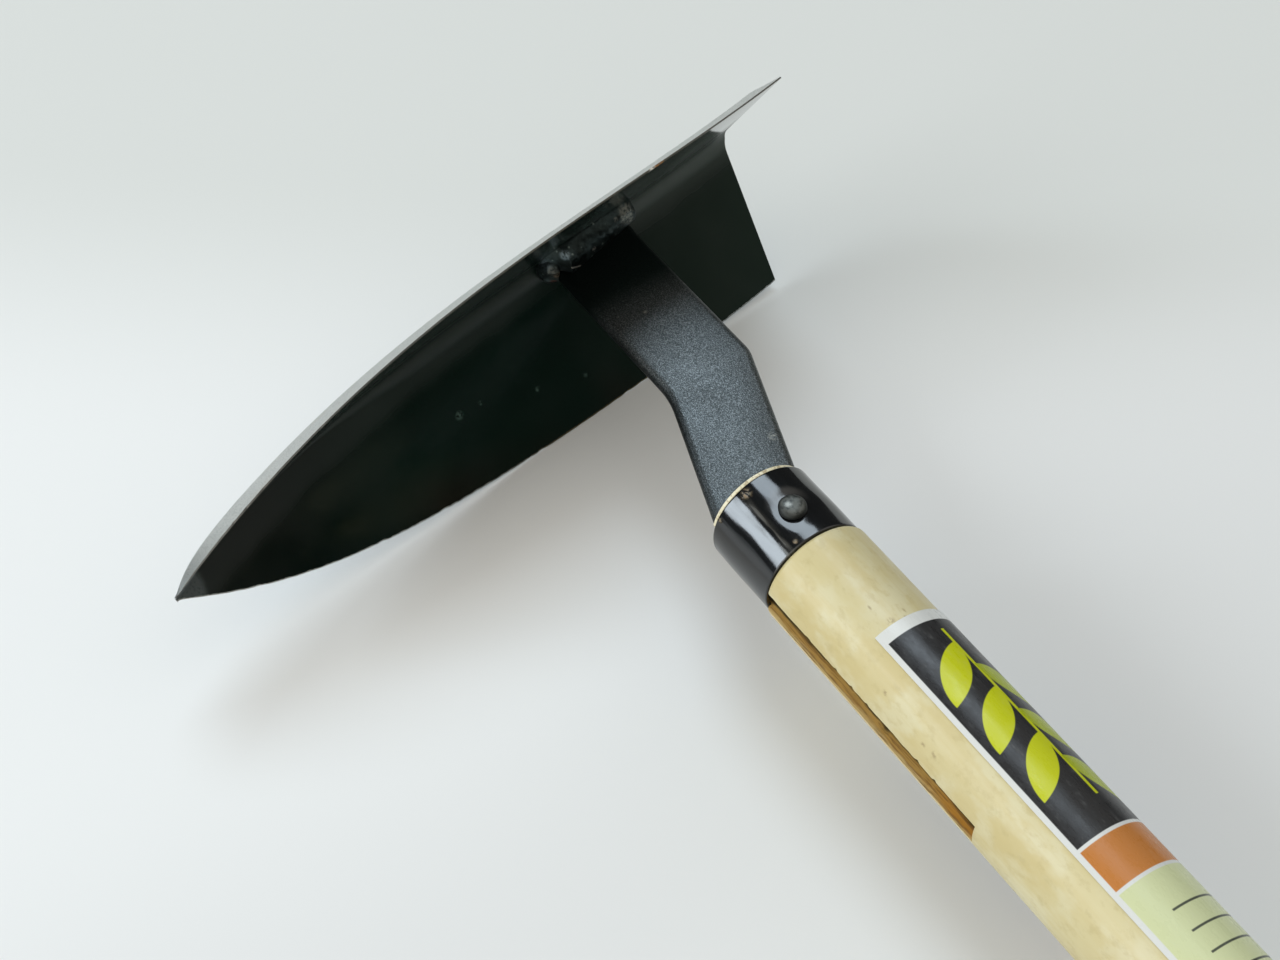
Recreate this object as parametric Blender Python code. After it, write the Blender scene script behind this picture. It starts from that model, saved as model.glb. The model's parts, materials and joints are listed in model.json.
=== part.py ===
"""A triangle hoe on its side: a folded steel blade on a dog-legged neck, in a long round wooden handle.

Every piece is modelled in the hoe's own frame: x runs along the handle from the ferrule's blade-end rim
towards the butt, y runs from the blade's tip towards its square back end, and z is square to the plane that
halves the blade. The empty that carries the pieces lays the hoe down, with one cutting edge and the
butt on the ground.
"""

import math

import bmesh
import bpy
from mathutils import Matrix, Vector

# The gap left between two pieces that touch on the real hoe.
SEAT_GAP = 0.0003

# The wooden handle.
HANDLE_DIAMETER = 0.028
HANDLE_LENGTH = 1.09
HANDLE_PAST_FERRULE = 0.0013
HANDLE_END_CHAMFER = 0.0008
HANDLE_SHOULDER_ROUNDING = 0.0012
BUTT_ROUNDING = 0.005
KERF_PAST_TANG = 0.0245
KERF_FLOOR_AT_ITS_END = 0.0065
KERF_CUTTER_OVERSHOOT = 0.0035

# The ferrule, a short steel tube that clamps the kerf shut on the tang.
FERRULE_BELOW_WOOD = 0.00045
FERRULE_WALL = 0.0009
FERRULE_LIP = 0.0003
FERRULE_PAST_RIVET = 0.0089

# The rivet that pins ferrule, wood and tang together.
RIVET_SHANK_DIAMETER = 0.005
RIVET_HEAD_OVERHANG = 0.0009
RIVET_HEAD_HEIGHT = 0.0018
RIVET_FROM_FERRULE_RIM = 0.0118

# The neck, a flat steel strap whose tang goes into the kerf.
STRAP_THICKNESS = 0.0054
STRAP_WIDTH_AT_BLADE = 0.0251
STRAP_CLEARANCE_IN_FERRULE = 0.0004
STRAP_OFFSET_AT_BLADE = 0.0147
STRAP_OFFSET_AT_FERRULE = 0.0
STRAP_BEND_FROM_FERRULE = 0.0405
STRAP_OUTER_BEND_SHIFT = 0.0015
STRAP_INNER_BEND_RADIUS = 0.026
STRAP_OUTER_BEND_RADIUS = 0.009
STRAP_EDGE_ROUNDING = 0.0014
TANG_WIDTH = 0.0125
TANG_TAPER = 0.0025
TANG_LENGTH = 0.068
TANG_SHOULDER_LENGTH = 0.0075

# The blade, one steel plate folded along a bowed keel.
BLADE_LENGTH = 0.1977
BLADE_REACH = 0.1115
BLADE_BACK_OVERHANG = 0.0673
KEEL_RAKE = math.radians(16.57)
KEEL_BOW = 0.00995
KEEL_BOW_SKEW = 7.0
WING_WIDTH = 0.0431
WING_FULLNESS = 4.3
WING_HALF_ANGLE = math.radians(56.15)
BACK_EDGE_SWEEP = 0.0058
BACK_SWEEP_FADE = 3
PLATE_THICKNESS = 0.0028
FOLD_RADIUS = 0.0072
GRIND_WIDTH = 0.016
EDGE_THICKNESS = 0.0004
NOSE_WIDTH = 0.0009
NOSE_THINNING_WIDTH = 0.007
GRIND_SHARE_AT_NOSE = 0.6
FOLD_SHARE_AT_NOSE = 0.3

# The two weld beads that join the neck to the inside of the fold.
BEAD_LEG_ON_STRAP_AT_TIP_SIDE = 0.009
BEAD_LEG_ON_STRAP_AT_BACK_SIDE = 0.0055
BEAD_LEG_ON_WING = 0.0078
BEAD_CROWN = 0.0013
BEAD_PAST_TIP_SIDE = 0.0058
BEAD_PAST_BACK_SIDE = 0.0009
BEAD_RIPPLE = 0.09
BEAD_RIPPLES = 5
BEAD_END_SHARE = 0.35
BEAD_TAPER_SHARE = 0.13

# The paper label glued round the handle.
LABEL_FROM_FERRULE_RIM = 0.0495
LABEL_LENGTH = 0.172
LABEL_WIDTH = 0.056
LABEL_THICKNESS = 0.00015
LABEL_START_ANGLE = math.radians(-26.5)

# How far the hoe rolls towards its tip before it balances on the ground, and the steepest lie looked for.
LYING_ROLL = math.radians(2.0)
STEEPEST_PITCH = math.radians(20)

# How finely round shapes are divided.
ROUND_SIDES = 56
SMALL_ROUND_SIDES = 20
FOLD_STEPS = 6
KEEL_STATIONS = 26
KEEL_STATION_CROWDING = 1.5
BEND_STEPS = 5
ROUNDING_STEPS = 3
BEAD_STATIONS_PER_RIPPLE = 4

# How often an interval is halved to find a place in it.
HALVINGS = 40

AXIS_X = Vector((1, 0, 0))
AXIS_Z = Vector((0, 0, 1))

HANDLE_RADIUS = HANDLE_DIAMETER / 2
FERRULE_RADIUS = HANDLE_RADIUS - FERRULE_BELOW_WOOD
FERRULE_BORE_RADIUS = FERRULE_RADIUS - FERRULE_WALL
FERRULE_LENGTH = RIVET_FROM_FERRULE_RIM + FERRULE_PAST_RIVET
WOOD_SEAT_RADIUS = FERRULE_BORE_RADIUS - SEAT_GAP
RIVET_BORE_RADIUS = RIVET_SHANK_DIAMETER / 2 + SEAT_GAP
HALF_STRAP = STRAP_THICKNESS / 2


def clear_scene():
    for old in list(bpy.data.objects):
        bpy.data.objects.remove(old, do_unlink=True)


def finish(name, colour, roughness, metallic):
    """A plain Principled material."""
    material = bpy.data.materials.new(name)
    material.use_nodes = True
    shader = material.node_tree.nodes["Principled BSDF"]
    shader.inputs["Base Color"].default_value = (*colour, 1.0)
    shader.inputs["Roughness"].default_value = roughness
    shader.inputs["Metallic"].default_value = metallic
    return material


def piece_from(bm, name, material, carrier, smooth_below=40.0):
    """Turns a bmesh into a named object that hangs on the carrier."""
    bmesh.ops.remove_doubles(bm, verts=bm.verts, dist=1e-7)
    bmesh.ops.recalc_face_normals(bm, faces=bm.faces)
    mesh = bpy.data.meshes.new(name)
    bm.to_mesh(mesh)
    bm.free()
    mesh.shade_smooth()
    mesh.set_sharp_from_angle(angle=math.radians(smooth_below))
    piece = bpy.data.objects.new(name, mesh)
    piece.data.materials.append(material)
    piece.parent = carrier
    bpy.context.scene.collection.objects.link(piece)
    return piece


def arc(centre, radius, start, end, steps):
    """Points on an arc in a plane, both ends included."""
    points = []
    for step in range(steps + 1):
        angle = start + (end - start) * step / steps
        points.append((centre[0] + radius * math.cos(angle), centre[1] + radius * math.sin(angle)))
    return points


def turned(profile, axis, sides):
    """Spins a profile of (along, radius) points round the axis. One that starts off it is closed first."""
    bm = bmesh.new()
    if axis == AXIS_X:
        points = [Vector((along, radius, 0)) for along, radius in profile]
    else:
        points = [Vector((radius, 0, along)) for along, radius in profile]
    verts = [bm.verts.new(point) for point in points]
    for first, second in zip(verts, verts[1:]):
        bm.edges.new((first, second))
    if profile[0][1] > 0:
        bm.edges.new((verts[-1], verts[0]))
    bmesh.ops.spin(
        bm,
        geom=bm.verts[:] + bm.edges[:],
        cent=(0, 0, 0),
        axis=axis,
        angle=2 * math.pi,
        steps=sides,
        use_merge=True,
    )
    return bm


def lofted(rings):
    """Joins closed rings of points into one solid. A ring's second half runs back along its first half."""
    bm = bmesh.new()
    loops = [[bm.verts.new(point) for point in ring] for ring in rings]
    count = len(rings[0])
    for near, far in zip(loops, loops[1:]):
        for index in range(count):
            after = (index + 1) % count
            bm.faces.new((near[index], near[after], far[after], far[index]))
    for loop in (loops[0], loops[-1]):
        for index in range(count // 2 - 1):
            mate = count - 1 - index
            bm.faces.new((loop[index], loop[index + 1], loop[mate - 1], loop[mate]))
    return bm


def flat_outline(points, low, high):
    """Extrudes a flat outline from one height to another."""
    bm = bmesh.new()
    face = bm.faces.new([bm.verts.new((x, y, low)) for x, y in points])
    grown = bmesh.ops.extrude_face_region(bm, geom=[face])
    top = [item for item in grown["geom"] if isinstance(item, bmesh.types.BMVert)]
    bmesh.ops.translate(bm, verts=top, vec=(0, 0, high - low))
    return bm


def rounded_corner(before, corner, after, radius, steps):
    """The arc that replaces a corner between two straight runs."""
    to_before = (Vector(before) - Vector(corner)).normalized()
    to_after = (Vector(after) - Vector(corner)).normalized()
    half = to_before.angle(to_after) / 2
    middle = Vector(corner) + (to_before + to_after).normalized() * radius / math.sin(half)
    start = Vector(corner) + to_before * radius / math.tan(half) - middle
    turn = math.pi - 2 * half
    if to_before.cross(to_after) > 0:
        turn = -turn
    points = []
    for step in range(steps + 1):
        angle = turn * step / steps
        spun = Matrix.Rotation(angle, 2) @ start
        points.append(tuple(middle + spun))
    return points


def cut_by(piece, cutter, name):
    """Cuts a piece with a hidden cutter, live."""
    cutter.hide_render = True
    cutter.display_type = "WIRE"
    cut = piece.modifiers.new(name, "BOOLEAN")
    cut.operation = "DIFFERENCE"
    cut.solver = "EXACT"
    cut.object = cutter


# The blade.


def keel_frame():
    """The keel chord's direction towards the tip, and the direction square to it towards the handle."""
    along = Vector((math.sin(KEEL_RAKE), -math.cos(KEEL_RAKE), 0))
    inward = Vector((math.cos(KEEL_RAKE), math.sin(KEEL_RAKE), 0))
    return along, inward


def bow_at(share):
    """How far the keel stands off its chord, as a share of the largest distance."""
    skew = KEEL_BOW_SKEW
    widest = ((skew - 1) + math.sqrt((skew - 1) ** 2 + 3 * skew)) / (3 * skew)
    largest = widest * (1 - widest) * (1 + skew * widest)
    return share * (1 - share) * (1 + skew * share) / largest


def keel_point(share):
    """The sharp inner corner that the two wings would meet in, at a share of the way to the tip."""
    along, inward = keel_frame()
    back = Vector((-BLADE_REACH, BLADE_BACK_OVERHANG, 0))
    return back + along * BLADE_LENGTH * share - inward * KEEL_BOW * bow_at(share)


def wing_width_at(share):
    return max(WING_WIDTH * (1 - share**WING_FULLNESS), NOSE_WIDTH)


def blade_ring(share):
    """The blade's closed section: the inner face from one edge to the other, then the outer face back."""
    along, inward = keel_frame()
    width = wing_width_at(share)
    grind = min(GRIND_WIDTH, width * GRIND_SHARE_AT_NOSE)
    fullness = min(1.0, width / NOSE_THINNING_WIDTH)
    heel_thickness = EDGE_THICKNESS + (PLATE_THICKNESS - EDGE_THICKNESS) * fullness
    tangent = min(FOLD_RADIUS / math.tan(WING_HALF_ANGLE), width * FOLD_SHARE_AT_NOSE)
    radius = tangent * math.tan(WING_HALF_ANGLE)
    centre = radius / math.sin(WING_HALF_ANGLE)
    opening = math.pi / 2 - WING_HALF_ANGLE

    def on_wing(side, distance, depth):
        across = distance * math.cos(WING_HALF_ANGLE) - depth * math.sin(WING_HALF_ANGLE)
        up = side * (distance * math.sin(WING_HALF_ANGLE) + depth * math.cos(WING_HALF_ANGLE))
        return across, up

    def in_fold(depth):
        points = []
        for step in range(FOLD_STEPS + 1):
            angle = opening * (1 - 2 * step / FOLD_STEPS)
            reach = radius + depth
            points.append((centre - reach * math.cos(angle), reach * math.sin(angle)))
        return points

    inner = [on_wing(1, width, 0), on_wing(1, width - grind, 0)]
    inner += in_fold(0)
    inner += [on_wing(-1, width - grind, 0), on_wing(-1, width, 0)]
    outer = [on_wing(1, width, EDGE_THICKNESS), on_wing(1, width - grind, heel_thickness)]
    outer += in_fold(heel_thickness)
    outer += [on_wing(-1, width - grind, heel_thickness), on_wing(-1, width, EDGE_THICKNESS)]
    ring = []
    wing_rise = WING_WIDTH * math.sin(WING_HALF_ANGLE)
    sweep_slope = BACK_EDGE_SWEEP / wing_rise * (1 - share) ** BACK_SWEEP_FADE
    for across, up in inner + outer[::-1]:
        ring.append(keel_point(share) + inward * across + along * (sweep_slope * abs(up)) + AXIS_Z * up)
    return ring


def make_blade(carrier):
    rings = []
    for station in range(KEEL_STATIONS + 1):
        share = 1 - (1 - station / KEEL_STATIONS) ** KEEL_STATION_CROWDING
        rings.append(blade_ring(share))
    black = finish("black_lacquered_steel", (0.012, 0.014, 0.013), 0.18, 0.0)
    return piece_from(lofted(rings), "blade", black, carrier, smooth_below=12.0)


# The neck.


def keel_share_at(y):
    """How far along the keel a given y lies, found by halving."""
    low, high = 0.0, 1.0
    for _ in range(HALVINGS):
        middle = (low + high) / 2
        if keel_point(middle).y > y:
            low = middle
        else:
            high = middle
    return low


def fold_face_at(up):
    """How far the blade's inner face stands from the sharp corner, at a height off the keel."""
    if up < FOLD_RADIUS * math.cos(WING_HALF_ANGLE):
        return FOLD_RADIUS / math.sin(WING_HALF_ANGLE) - math.sqrt(FOLD_RADIUS**2 - up**2)
    return up / math.tan(WING_HALF_ANGLE)


def strap_end_point(y):
    """Where the strap's square end stands in the fold, just clear of it."""
    _, inward = keel_frame()
    seat = keel_point(keel_share_at(y)) + inward * (fold_face_at(HALF_STRAP) + SEAT_GAP)
    return seat.x, y


def neck_outline():
    """The strap's outline, from the tip side of its blade end round to the back side."""
    half_blade = STRAP_WIDTH_AT_BLADE / 2
    half_ferrule = math.sqrt(FERRULE_BORE_RADIUS**2 - HALF_STRAP**2) - STRAP_CLEARANCE_IN_FERRULE
    half_tang = TANG_WIDTH / 2
    tip_side = STRAP_OFFSET_AT_BLADE - half_blade
    back_side = STRAP_OFFSET_AT_BLADE + half_blade
    tip_start = strap_end_point(tip_side)
    back_start = strap_end_point(back_side)
    tip_bend = (-STRAP_BEND_FROM_FERRULE, tip_side)
    back_bend = (-STRAP_BEND_FROM_FERRULE - STRAP_OUTER_BEND_SHIFT, back_side)
    tip_rim = (0.0, STRAP_OFFSET_AT_FERRULE - half_ferrule)
    back_rim = (0.0, STRAP_OFFSET_AT_FERRULE + half_ferrule)
    half_end = half_tang - TANG_TAPER / 2
    points = [tip_start]
    points += rounded_corner(tip_start, tip_bend, tip_rim, STRAP_INNER_BEND_RADIUS, BEND_STEPS)
    points += [tip_rim, (TANG_SHOULDER_LENGTH, -half_tang)]
    points += arc((TANG_LENGTH - half_end, 0.0), half_end, -math.pi / 2, math.pi / 2, 2 * ROUNDING_STEPS)
    points += [(TANG_SHOULDER_LENGTH, half_tang), back_rim]
    points += rounded_corner(back_rim, back_bend, back_start, STRAP_OUTER_BEND_RADIUS, BEND_STEPS)
    for step in range(BEND_STEPS):
        points.append(strap_end_point(back_side + (tip_side - back_side) * step / BEND_STEPS))
    return points


def make_neck(carrier, rivet_bore):
    black = finish("satin_black_steel", (0.03, 0.033, 0.037), 0.42, 0.0)
    bm = flat_outline(neck_outline(), -HALF_STRAP, HALF_STRAP)
    neck = piece_from(bm, "neck", black, carrier)
    rounding = neck.modifiers.new("eased edges", "BEVEL")
    rounding.width = STRAP_EDGE_ROUNDING
    rounding.segments = 2
    rounding.limit_method = "ANGLE"
    rounding.angle_limit = math.radians(60)
    cut_by(neck, rivet_bore, "rivet hole")
    return neck


# The weld beads.


def bead_ring(y, strap_leg, wing_leg, side):
    """A bead's section at one place along the strap's end, between the strap's face and the wing."""
    _, inward = keel_frame()
    base = keel_point(keel_share_at(y))
    gap_on_wing = SEAT_GAP / math.sin(WING_HALF_ANGLE)

    def beside_wing(up):
        return Vector((fold_face_at(up) + gap_on_wing, up))

    floor = HALF_STRAP + SEAT_GAP
    top = floor + wing_leg * math.sin(WING_HALF_ANGLE)
    corner = beside_wing(floor)
    on_wing = beside_wing(top)
    on_strap = corner + Vector((strap_leg, 0))
    chord = on_wing - on_strap
    outward = Vector((chord.y, -chord.x)).normalized()
    crown = []
    for step in (1, 2, 3):
        share = step / 4
        crown.append(on_strap + chord * share + outward * (BEAD_CROWN * math.sin(math.pi * share)))
    section = [on_strap, *crown, on_wing, beside_wing((floor + top) / 2), corner, (corner + on_strap) / 2]
    return [base + inward * point.x + AXIS_Z * (side * point.y) for point in section]


def make_bead(carrier, name, side):
    """One lumpy bead along the strap's end."""
    half_blade = STRAP_WIDTH_AT_BLADE / 2
    start = STRAP_OFFSET_AT_BLADE - half_blade - BEAD_PAST_TIP_SIDE
    end = STRAP_OFFSET_AT_BLADE + half_blade + BEAD_PAST_BACK_SIDE
    narrowing = BEAD_LEG_ON_STRAP_AT_BACK_SIDE - BEAD_LEG_ON_STRAP_AT_TIP_SIDE
    stations = BEAD_STATIONS_PER_RIPPLE * BEAD_RIPPLES
    rings = []
    for station in range(stations + 1):
        share = station / stations
        ripple = 1 + BEAD_RIPPLE * math.sin(2 * math.pi * BEAD_RIPPLES * share + side)
        from_end = min(share, 1 - share)
        swell = ripple * min(1.0, BEAD_END_SHARE + (1 - BEAD_END_SHARE) * from_end / BEAD_TAPER_SHARE)
        strap_leg = BEAD_LEG_ON_STRAP_AT_TIP_SIDE + narrowing * share
        y = start + (end - start) * share
        rings.append(bead_ring(y, strap_leg * swell, BEAD_LEG_ON_WING * swell, side))
    grey = finish(name + "_metal", (0.09, 0.09, 0.095), 0.38, 0.7)
    return piece_from(lofted(rings), name, grey, carrier, smooth_below=60.0)


# The ferrule, rivet, handle and label.


def make_ferrule(carrier, rivet_bore):
    profile = [
        (0.0, FERRULE_BORE_RADIUS),
        (0.0, FERRULE_RADIUS - FERRULE_LIP),
        (FERRULE_LIP, FERRULE_RADIUS),
        (FERRULE_LENGTH - FERRULE_LIP, FERRULE_RADIUS),
        (FERRULE_LENGTH, FERRULE_RADIUS - FERRULE_LIP),
        (FERRULE_LENGTH, FERRULE_BORE_RADIUS),
    ]
    enamel = finish("gloss_black_enamel", (0.008, 0.009, 0.011), 0.12, 0.0)
    ferrule = piece_from(turned(profile, AXIS_X, ROUND_SIDES), "ferrule", enamel, carrier)
    cut_by(ferrule, rivet_bore, "rivet holes")
    return ferrule


def make_rivet(carrier):
    """The shank with its domed head on each side of the ferrule, turned about z."""
    seat = FERRULE_RADIUS + SEAT_GAP
    shank_radius = RIVET_SHANK_DIAMETER / 2
    head_radius = shank_radius + RIVET_HEAD_OVERHANG
    steps = ROUNDING_STEPS * 2
    upper = [(seat, shank_radius)]
    for step in range(steps):
        angle = math.pi / 2 * step / steps
        upper.append((seat + RIVET_HEAD_HEIGHT * math.sin(angle), head_radius * math.cos(angle)))
    upper.append((seat + RIVET_HEAD_HEIGHT, 0.0))
    lower = [(-height, radius) for height, radius in reversed(upper)]
    steel = finish("dark_rivet_steel", (0.03, 0.032, 0.035), 0.35, 0.4)
    rivet = piece_from(turned(lower + upper, AXIS_Z, SMALL_ROUND_SIDES), "rivet", steel, carrier)
    rivet.location.x = RIVET_FROM_FERRULE_RIM
    return rivet


def make_rivet_bore(carrier):
    """The hidden cutter for the rivet's hole, long enough to pass through everything it pins."""
    reach = HANDLE_DIAMETER
    profile = [(-reach, 0.0), (-reach, RIVET_BORE_RADIUS), (reach, RIVET_BORE_RADIUS), (reach, 0.0)]
    metal = finish("bore", (0.5, 0.5, 0.5), 0.5, 0.0)
    bore = piece_from(turned(profile, AXIS_Z, SMALL_ROUND_SIDES), "rivet_bore_cutter", metal, carrier)
    bore.location.x = RIVET_FROM_FERRULE_RIM
    return bore


def make_kerf_cutter(carrier):
    """The hidden cutter for the sawn slot: right through at the blade end, its floor rising to one side."""
    start = -HANDLE_PAST_FERRULE - KERF_CUTTER_OVERSHOOT
    end = TANG_LENGTH + KERF_PAST_TANG
    outside = HANDLE_RADIUS + KERF_CUTTER_OVERSHOOT
    outline = [(start, -outside), (end, -outside), (end, KERF_FLOOR_AT_ITS_END), (start, outside)]
    half = HALF_STRAP + SEAT_GAP
    wood = finish("kerf", (0.5, 0.35, 0.2), 0.8, 0.0)
    return piece_from(flat_outline(outline, -half, half), "kerf_cutter", wood, carrier)


def make_handle(carrier, rivet_bore):
    start = -HANDLE_PAST_FERRULE
    butt = start + HANDLE_LENGTH
    shoulder = FERRULE_LENGTH + SEAT_GAP
    easing = min(HANDLE_SHOULDER_ROUNDING, HANDLE_RADIUS - WOOD_SEAT_RADIUS)
    profile = [
        (start, 0.0),
        (start, WOOD_SEAT_RADIUS - HANDLE_END_CHAMFER),
        (start + HANDLE_END_CHAMFER, WOOD_SEAT_RADIUS),
        (shoulder, WOOD_SEAT_RADIUS),
    ]
    shoulder_centre = (shoulder + easing, HANDLE_RADIUS - easing)
    butt_centre = (butt - BUTT_ROUNDING, HANDLE_RADIUS - BUTT_ROUNDING)
    profile += arc(shoulder_centre, easing, math.pi, math.pi / 2, ROUNDING_STEPS)
    profile += arc(butt_centre, BUTT_ROUNDING, math.pi / 2, 0.0, 2 * ROUNDING_STEPS)
    profile.append((butt, 0.0))
    wood = finish("lacquered_pale_wood", (0.72, 0.53, 0.27), 0.35, 0.0)
    handle = piece_from(turned(profile, AXIS_X, ROUND_SIDES), "handle", wood, carrier)
    cut_by(handle, make_kerf_cutter(carrier), "kerf")
    cut_by(handle, rivet_bore, "rivet hole")
    return handle


def make_label(carrier):
    """A thin curved sheet, just clear of the wood."""
    inner = HANDLE_RADIUS + SEAT_GAP
    outer = inner + LABEL_THICKNESS
    wrap = LABEL_WIDTH / HANDLE_RADIUS
    steps = max(2, round(ROUND_SIDES * wrap / (2 * math.pi)))
    rings = []
    for step in range(steps + 1):
        angle = LABEL_START_ANGLE + wrap * step / steps
        outward = Vector((0, math.sin(angle), math.cos(angle)))
        ring = []
        for radius, order in ((inner, (0, 1)), (outer, (1, 0))):
            for end in order:
                ring.append(AXIS_X * (LABEL_FROM_FERRULE_RIM + LABEL_LENGTH * end) + outward * radius)
        rings.append(ring)
    paper = finish("printed_paper", (0.75, 0.74, 0.6), 0.4, 0.0)
    return piece_from(lofted(rings), "label", paper, carrier)


# Laying the hoe down.


def evaluated_points(pieces):
    graph = bpy.context.evaluated_depsgraph_get()
    points = []
    for piece in pieces:
        shape = piece.evaluated_get(graph)
        points += [piece.matrix_local @ vertex.co for vertex in shape.data.vertices]
    return points


def lying_turn(pitch):
    """The turn that tips the butt down by the pitch and rolls the tip down by LYING_ROLL."""
    up = Vector(
        (-math.sin(pitch), math.cos(pitch) * math.sin(LYING_ROLL), math.cos(pitch) * math.cos(LYING_ROLL))
    )
    ahead = (AXIS_X - up * up.dot(AXIS_X)).normalized()
    return Matrix((ahead, up.cross(ahead), up))


def lay_down(carrier, pieces, blade, handle):
    """Finds the pitch at which cutting edge and butt both touch the ground, then centres the hoe over it."""
    bpy.context.view_layer.update()
    blade_points = evaluated_points([blade])
    handle_points = evaluated_points([handle])
    low, high = -STEEPEST_PITCH, STEEPEST_PITCH
    for _ in range(HALVINGS):
        pitch = (low + high) / 2
        up = lying_turn(pitch)[2]
        if min(up.dot(point) for point in blade_points) > min(up.dot(point) for point in handle_points):
            high = pitch
        else:
            low = pitch
    turn = lying_turn((low + high) / 2)
    laid = [turn @ point for point in evaluated_points(pieces)]
    lowest = [min(point[axis] for point in laid) for axis in range(3)]
    highest = [max(point[axis] for point in laid) for axis in range(3)]
    middle = Vector(((lowest[0] + highest[0]) / 2, (lowest[1] + highest[1]) / 2, lowest[2]))
    carrier.matrix_world = Matrix.Translation(-middle) @ turn.to_4x4()


def build_hoe():
    clear_scene()
    carrier = bpy.data.objects.new("lying_hoe", None)
    bpy.context.scene.collection.objects.link(carrier)
    rivet_bore = make_rivet_bore(carrier)
    blade = make_blade(carrier)
    handle = make_handle(carrier, rivet_bore)
    pieces = [
        blade,
        make_neck(carrier, rivet_bore),
        make_bead(carrier, "weld_bead_upper", 1),
        make_bead(carrier, "weld_bead_lower", -1),
        make_ferrule(carrier, rivet_bore),
        make_rivet(carrier),
        handle,
        make_label(carrier),
    ]
    lay_down(carrier, pieces, blade, handle)
    bpy.context.view_layer.update()


build_hoe()
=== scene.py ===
import json
import math

import bmesh
import bpy
import numpy as np
from mathutils import Matrix, Vector


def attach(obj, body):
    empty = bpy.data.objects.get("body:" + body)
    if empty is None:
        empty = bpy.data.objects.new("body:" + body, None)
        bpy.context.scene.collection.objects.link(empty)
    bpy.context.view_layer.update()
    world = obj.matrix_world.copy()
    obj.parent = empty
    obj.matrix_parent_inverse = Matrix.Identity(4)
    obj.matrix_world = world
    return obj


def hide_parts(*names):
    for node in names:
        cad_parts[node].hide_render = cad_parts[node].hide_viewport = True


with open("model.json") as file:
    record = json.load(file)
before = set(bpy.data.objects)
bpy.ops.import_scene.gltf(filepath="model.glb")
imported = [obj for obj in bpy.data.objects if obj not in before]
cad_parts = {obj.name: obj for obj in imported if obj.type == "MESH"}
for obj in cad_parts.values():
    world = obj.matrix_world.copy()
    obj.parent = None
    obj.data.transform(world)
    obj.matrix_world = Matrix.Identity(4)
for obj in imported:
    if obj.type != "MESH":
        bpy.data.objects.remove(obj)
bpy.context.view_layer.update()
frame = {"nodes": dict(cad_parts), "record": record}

# How the hoe lies. The rivet stands square to the plane that halves the blade, and the butt's flat face
# is centred on the handle. They give the hoe's own frame, in which each piece is modelled: x runs along
# the handle from the ferrule's blade-end rim, y from the blade's tip towards its square back end, and z
# along the rivet.
RIVET_FROM_RIM = 0.0118

rivet_points = [vertex.co for vertex in frame["nodes"]["rivet"].data.vertices]
rivet_top = max(rivet_points, key=lambda point: point.z)
rivet_foot = min(rivet_points, key=lambda point: point.z)
rivet_middle = (rivet_top + rivet_foot) / 2
butt_centre = Vector(frame["record"]["mounts"][0]["pos_m"])
along_handle = (butt_centre - rivet_middle).normalized()
along_rivet = (rivet_top - rivet_foot).normalized()
towards_back = along_rivet.cross(along_handle).normalized()
turn = Matrix((along_handle, towards_back, along_rivet)).transposed()
lie = Matrix.Translation(rivet_middle - along_handle * RIVET_FROM_RIM) @ turn.to_4x4()

# The blade. One plate of spring steel, folded hot along a bowed keel into a V, dipped in black lacquer
# and then ground bare on the outer side of both cutting edges.
BLADE_LENGTH = 0.1977
BLADE_REACH = 0.1115
BLADE_BACK_OVERHANG = 0.0673
KEEL_RAKE = math.radians(16.57)
KEEL_BOW = 0.00995
KEEL_BOW_SKEW = 7.0
WING_WIDTH = 0.0431
WING_FULLNESS = 4.3
WING_HALF_ANGLE = math.radians(56.15)
BACK_EDGE_SWEEP = 0.0058
BACK_SWEEP_FADE = 3
PLATE_THICKNESS = 0.0028
FOLD_RADIUS = 0.0072
FOLD_SHARE_AT_NOSE = 0.3
FOLD_EASING = 0.002
FOLD_TIGHTENS = (0.52, 0.78)
FOLD_LEFT_AT_TIP = 0.12
GRIND_WIDTH = 0.016
GRIND_SHARE_AT_NOSE = 0.6
GRIND_EASING = 0.006
EDGE_THICKNESS = 0.0004
NOSE_WIDTH = 0.0009
NOSE_THINNING_WIDTH = 0.007
EDGE_BAND = 0.0012
WORN_SHARE_AT_NOSE = 0.2
BLADE_STATIONS = 300
STATIONS_CROWD_TO_TIP = 1.35
EDGE_COLUMNS = 4
HALF_WING_COLUMNS = 11
FOLD_COLUMNS = 20
BLADE_SHARP_ABOVE = 12.0
NICKS_PER_EDGE = 13
NICK_DEPTH = 0.00032
NICK_HALF_WIDTH = 0.0009
NICKS_ALONG, NICK_DEPTHS, NICK_WIDTHS = (0.04, 0.93), (0.25, 1.0), (0.4, 1.2)
EDGE_WAVER = 0.00005
EDGE_WAVER_SIZE = 0.002

KEEL_ALONG = np.array([math.sin(KEEL_RAKE), -math.cos(KEEL_RAKE), 0.0])
KEEL_INWARD = np.array([math.cos(KEEL_RAKE), math.sin(KEEL_RAKE), 0.0])
UPWARD = np.array([0.0, 0.0, 1.0])
each_along = np.multiply.outer


def waver(places, size, seed, waves=16, slowest=0.55, fastest=1.5, usual_peak=1.6):
    """A smooth random field, mostly within -1 and 1, whose features are about one size across."""
    draw = np.random.default_rng(seed)
    ways = draw.normal(size=(waves, places.shape[-1]))
    ways /= np.linalg.norm(ways, axis=1, keepdims=True)
    ways *= math.pi / size * draw.uniform(slowest, fastest, (waves, 1))
    phases = draw.uniform(0, 2 * math.pi, waves)
    return np.sin(places @ ways.T + phases).sum(axis=-1) * math.sqrt(2 / waves) / usual_peak


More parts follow.
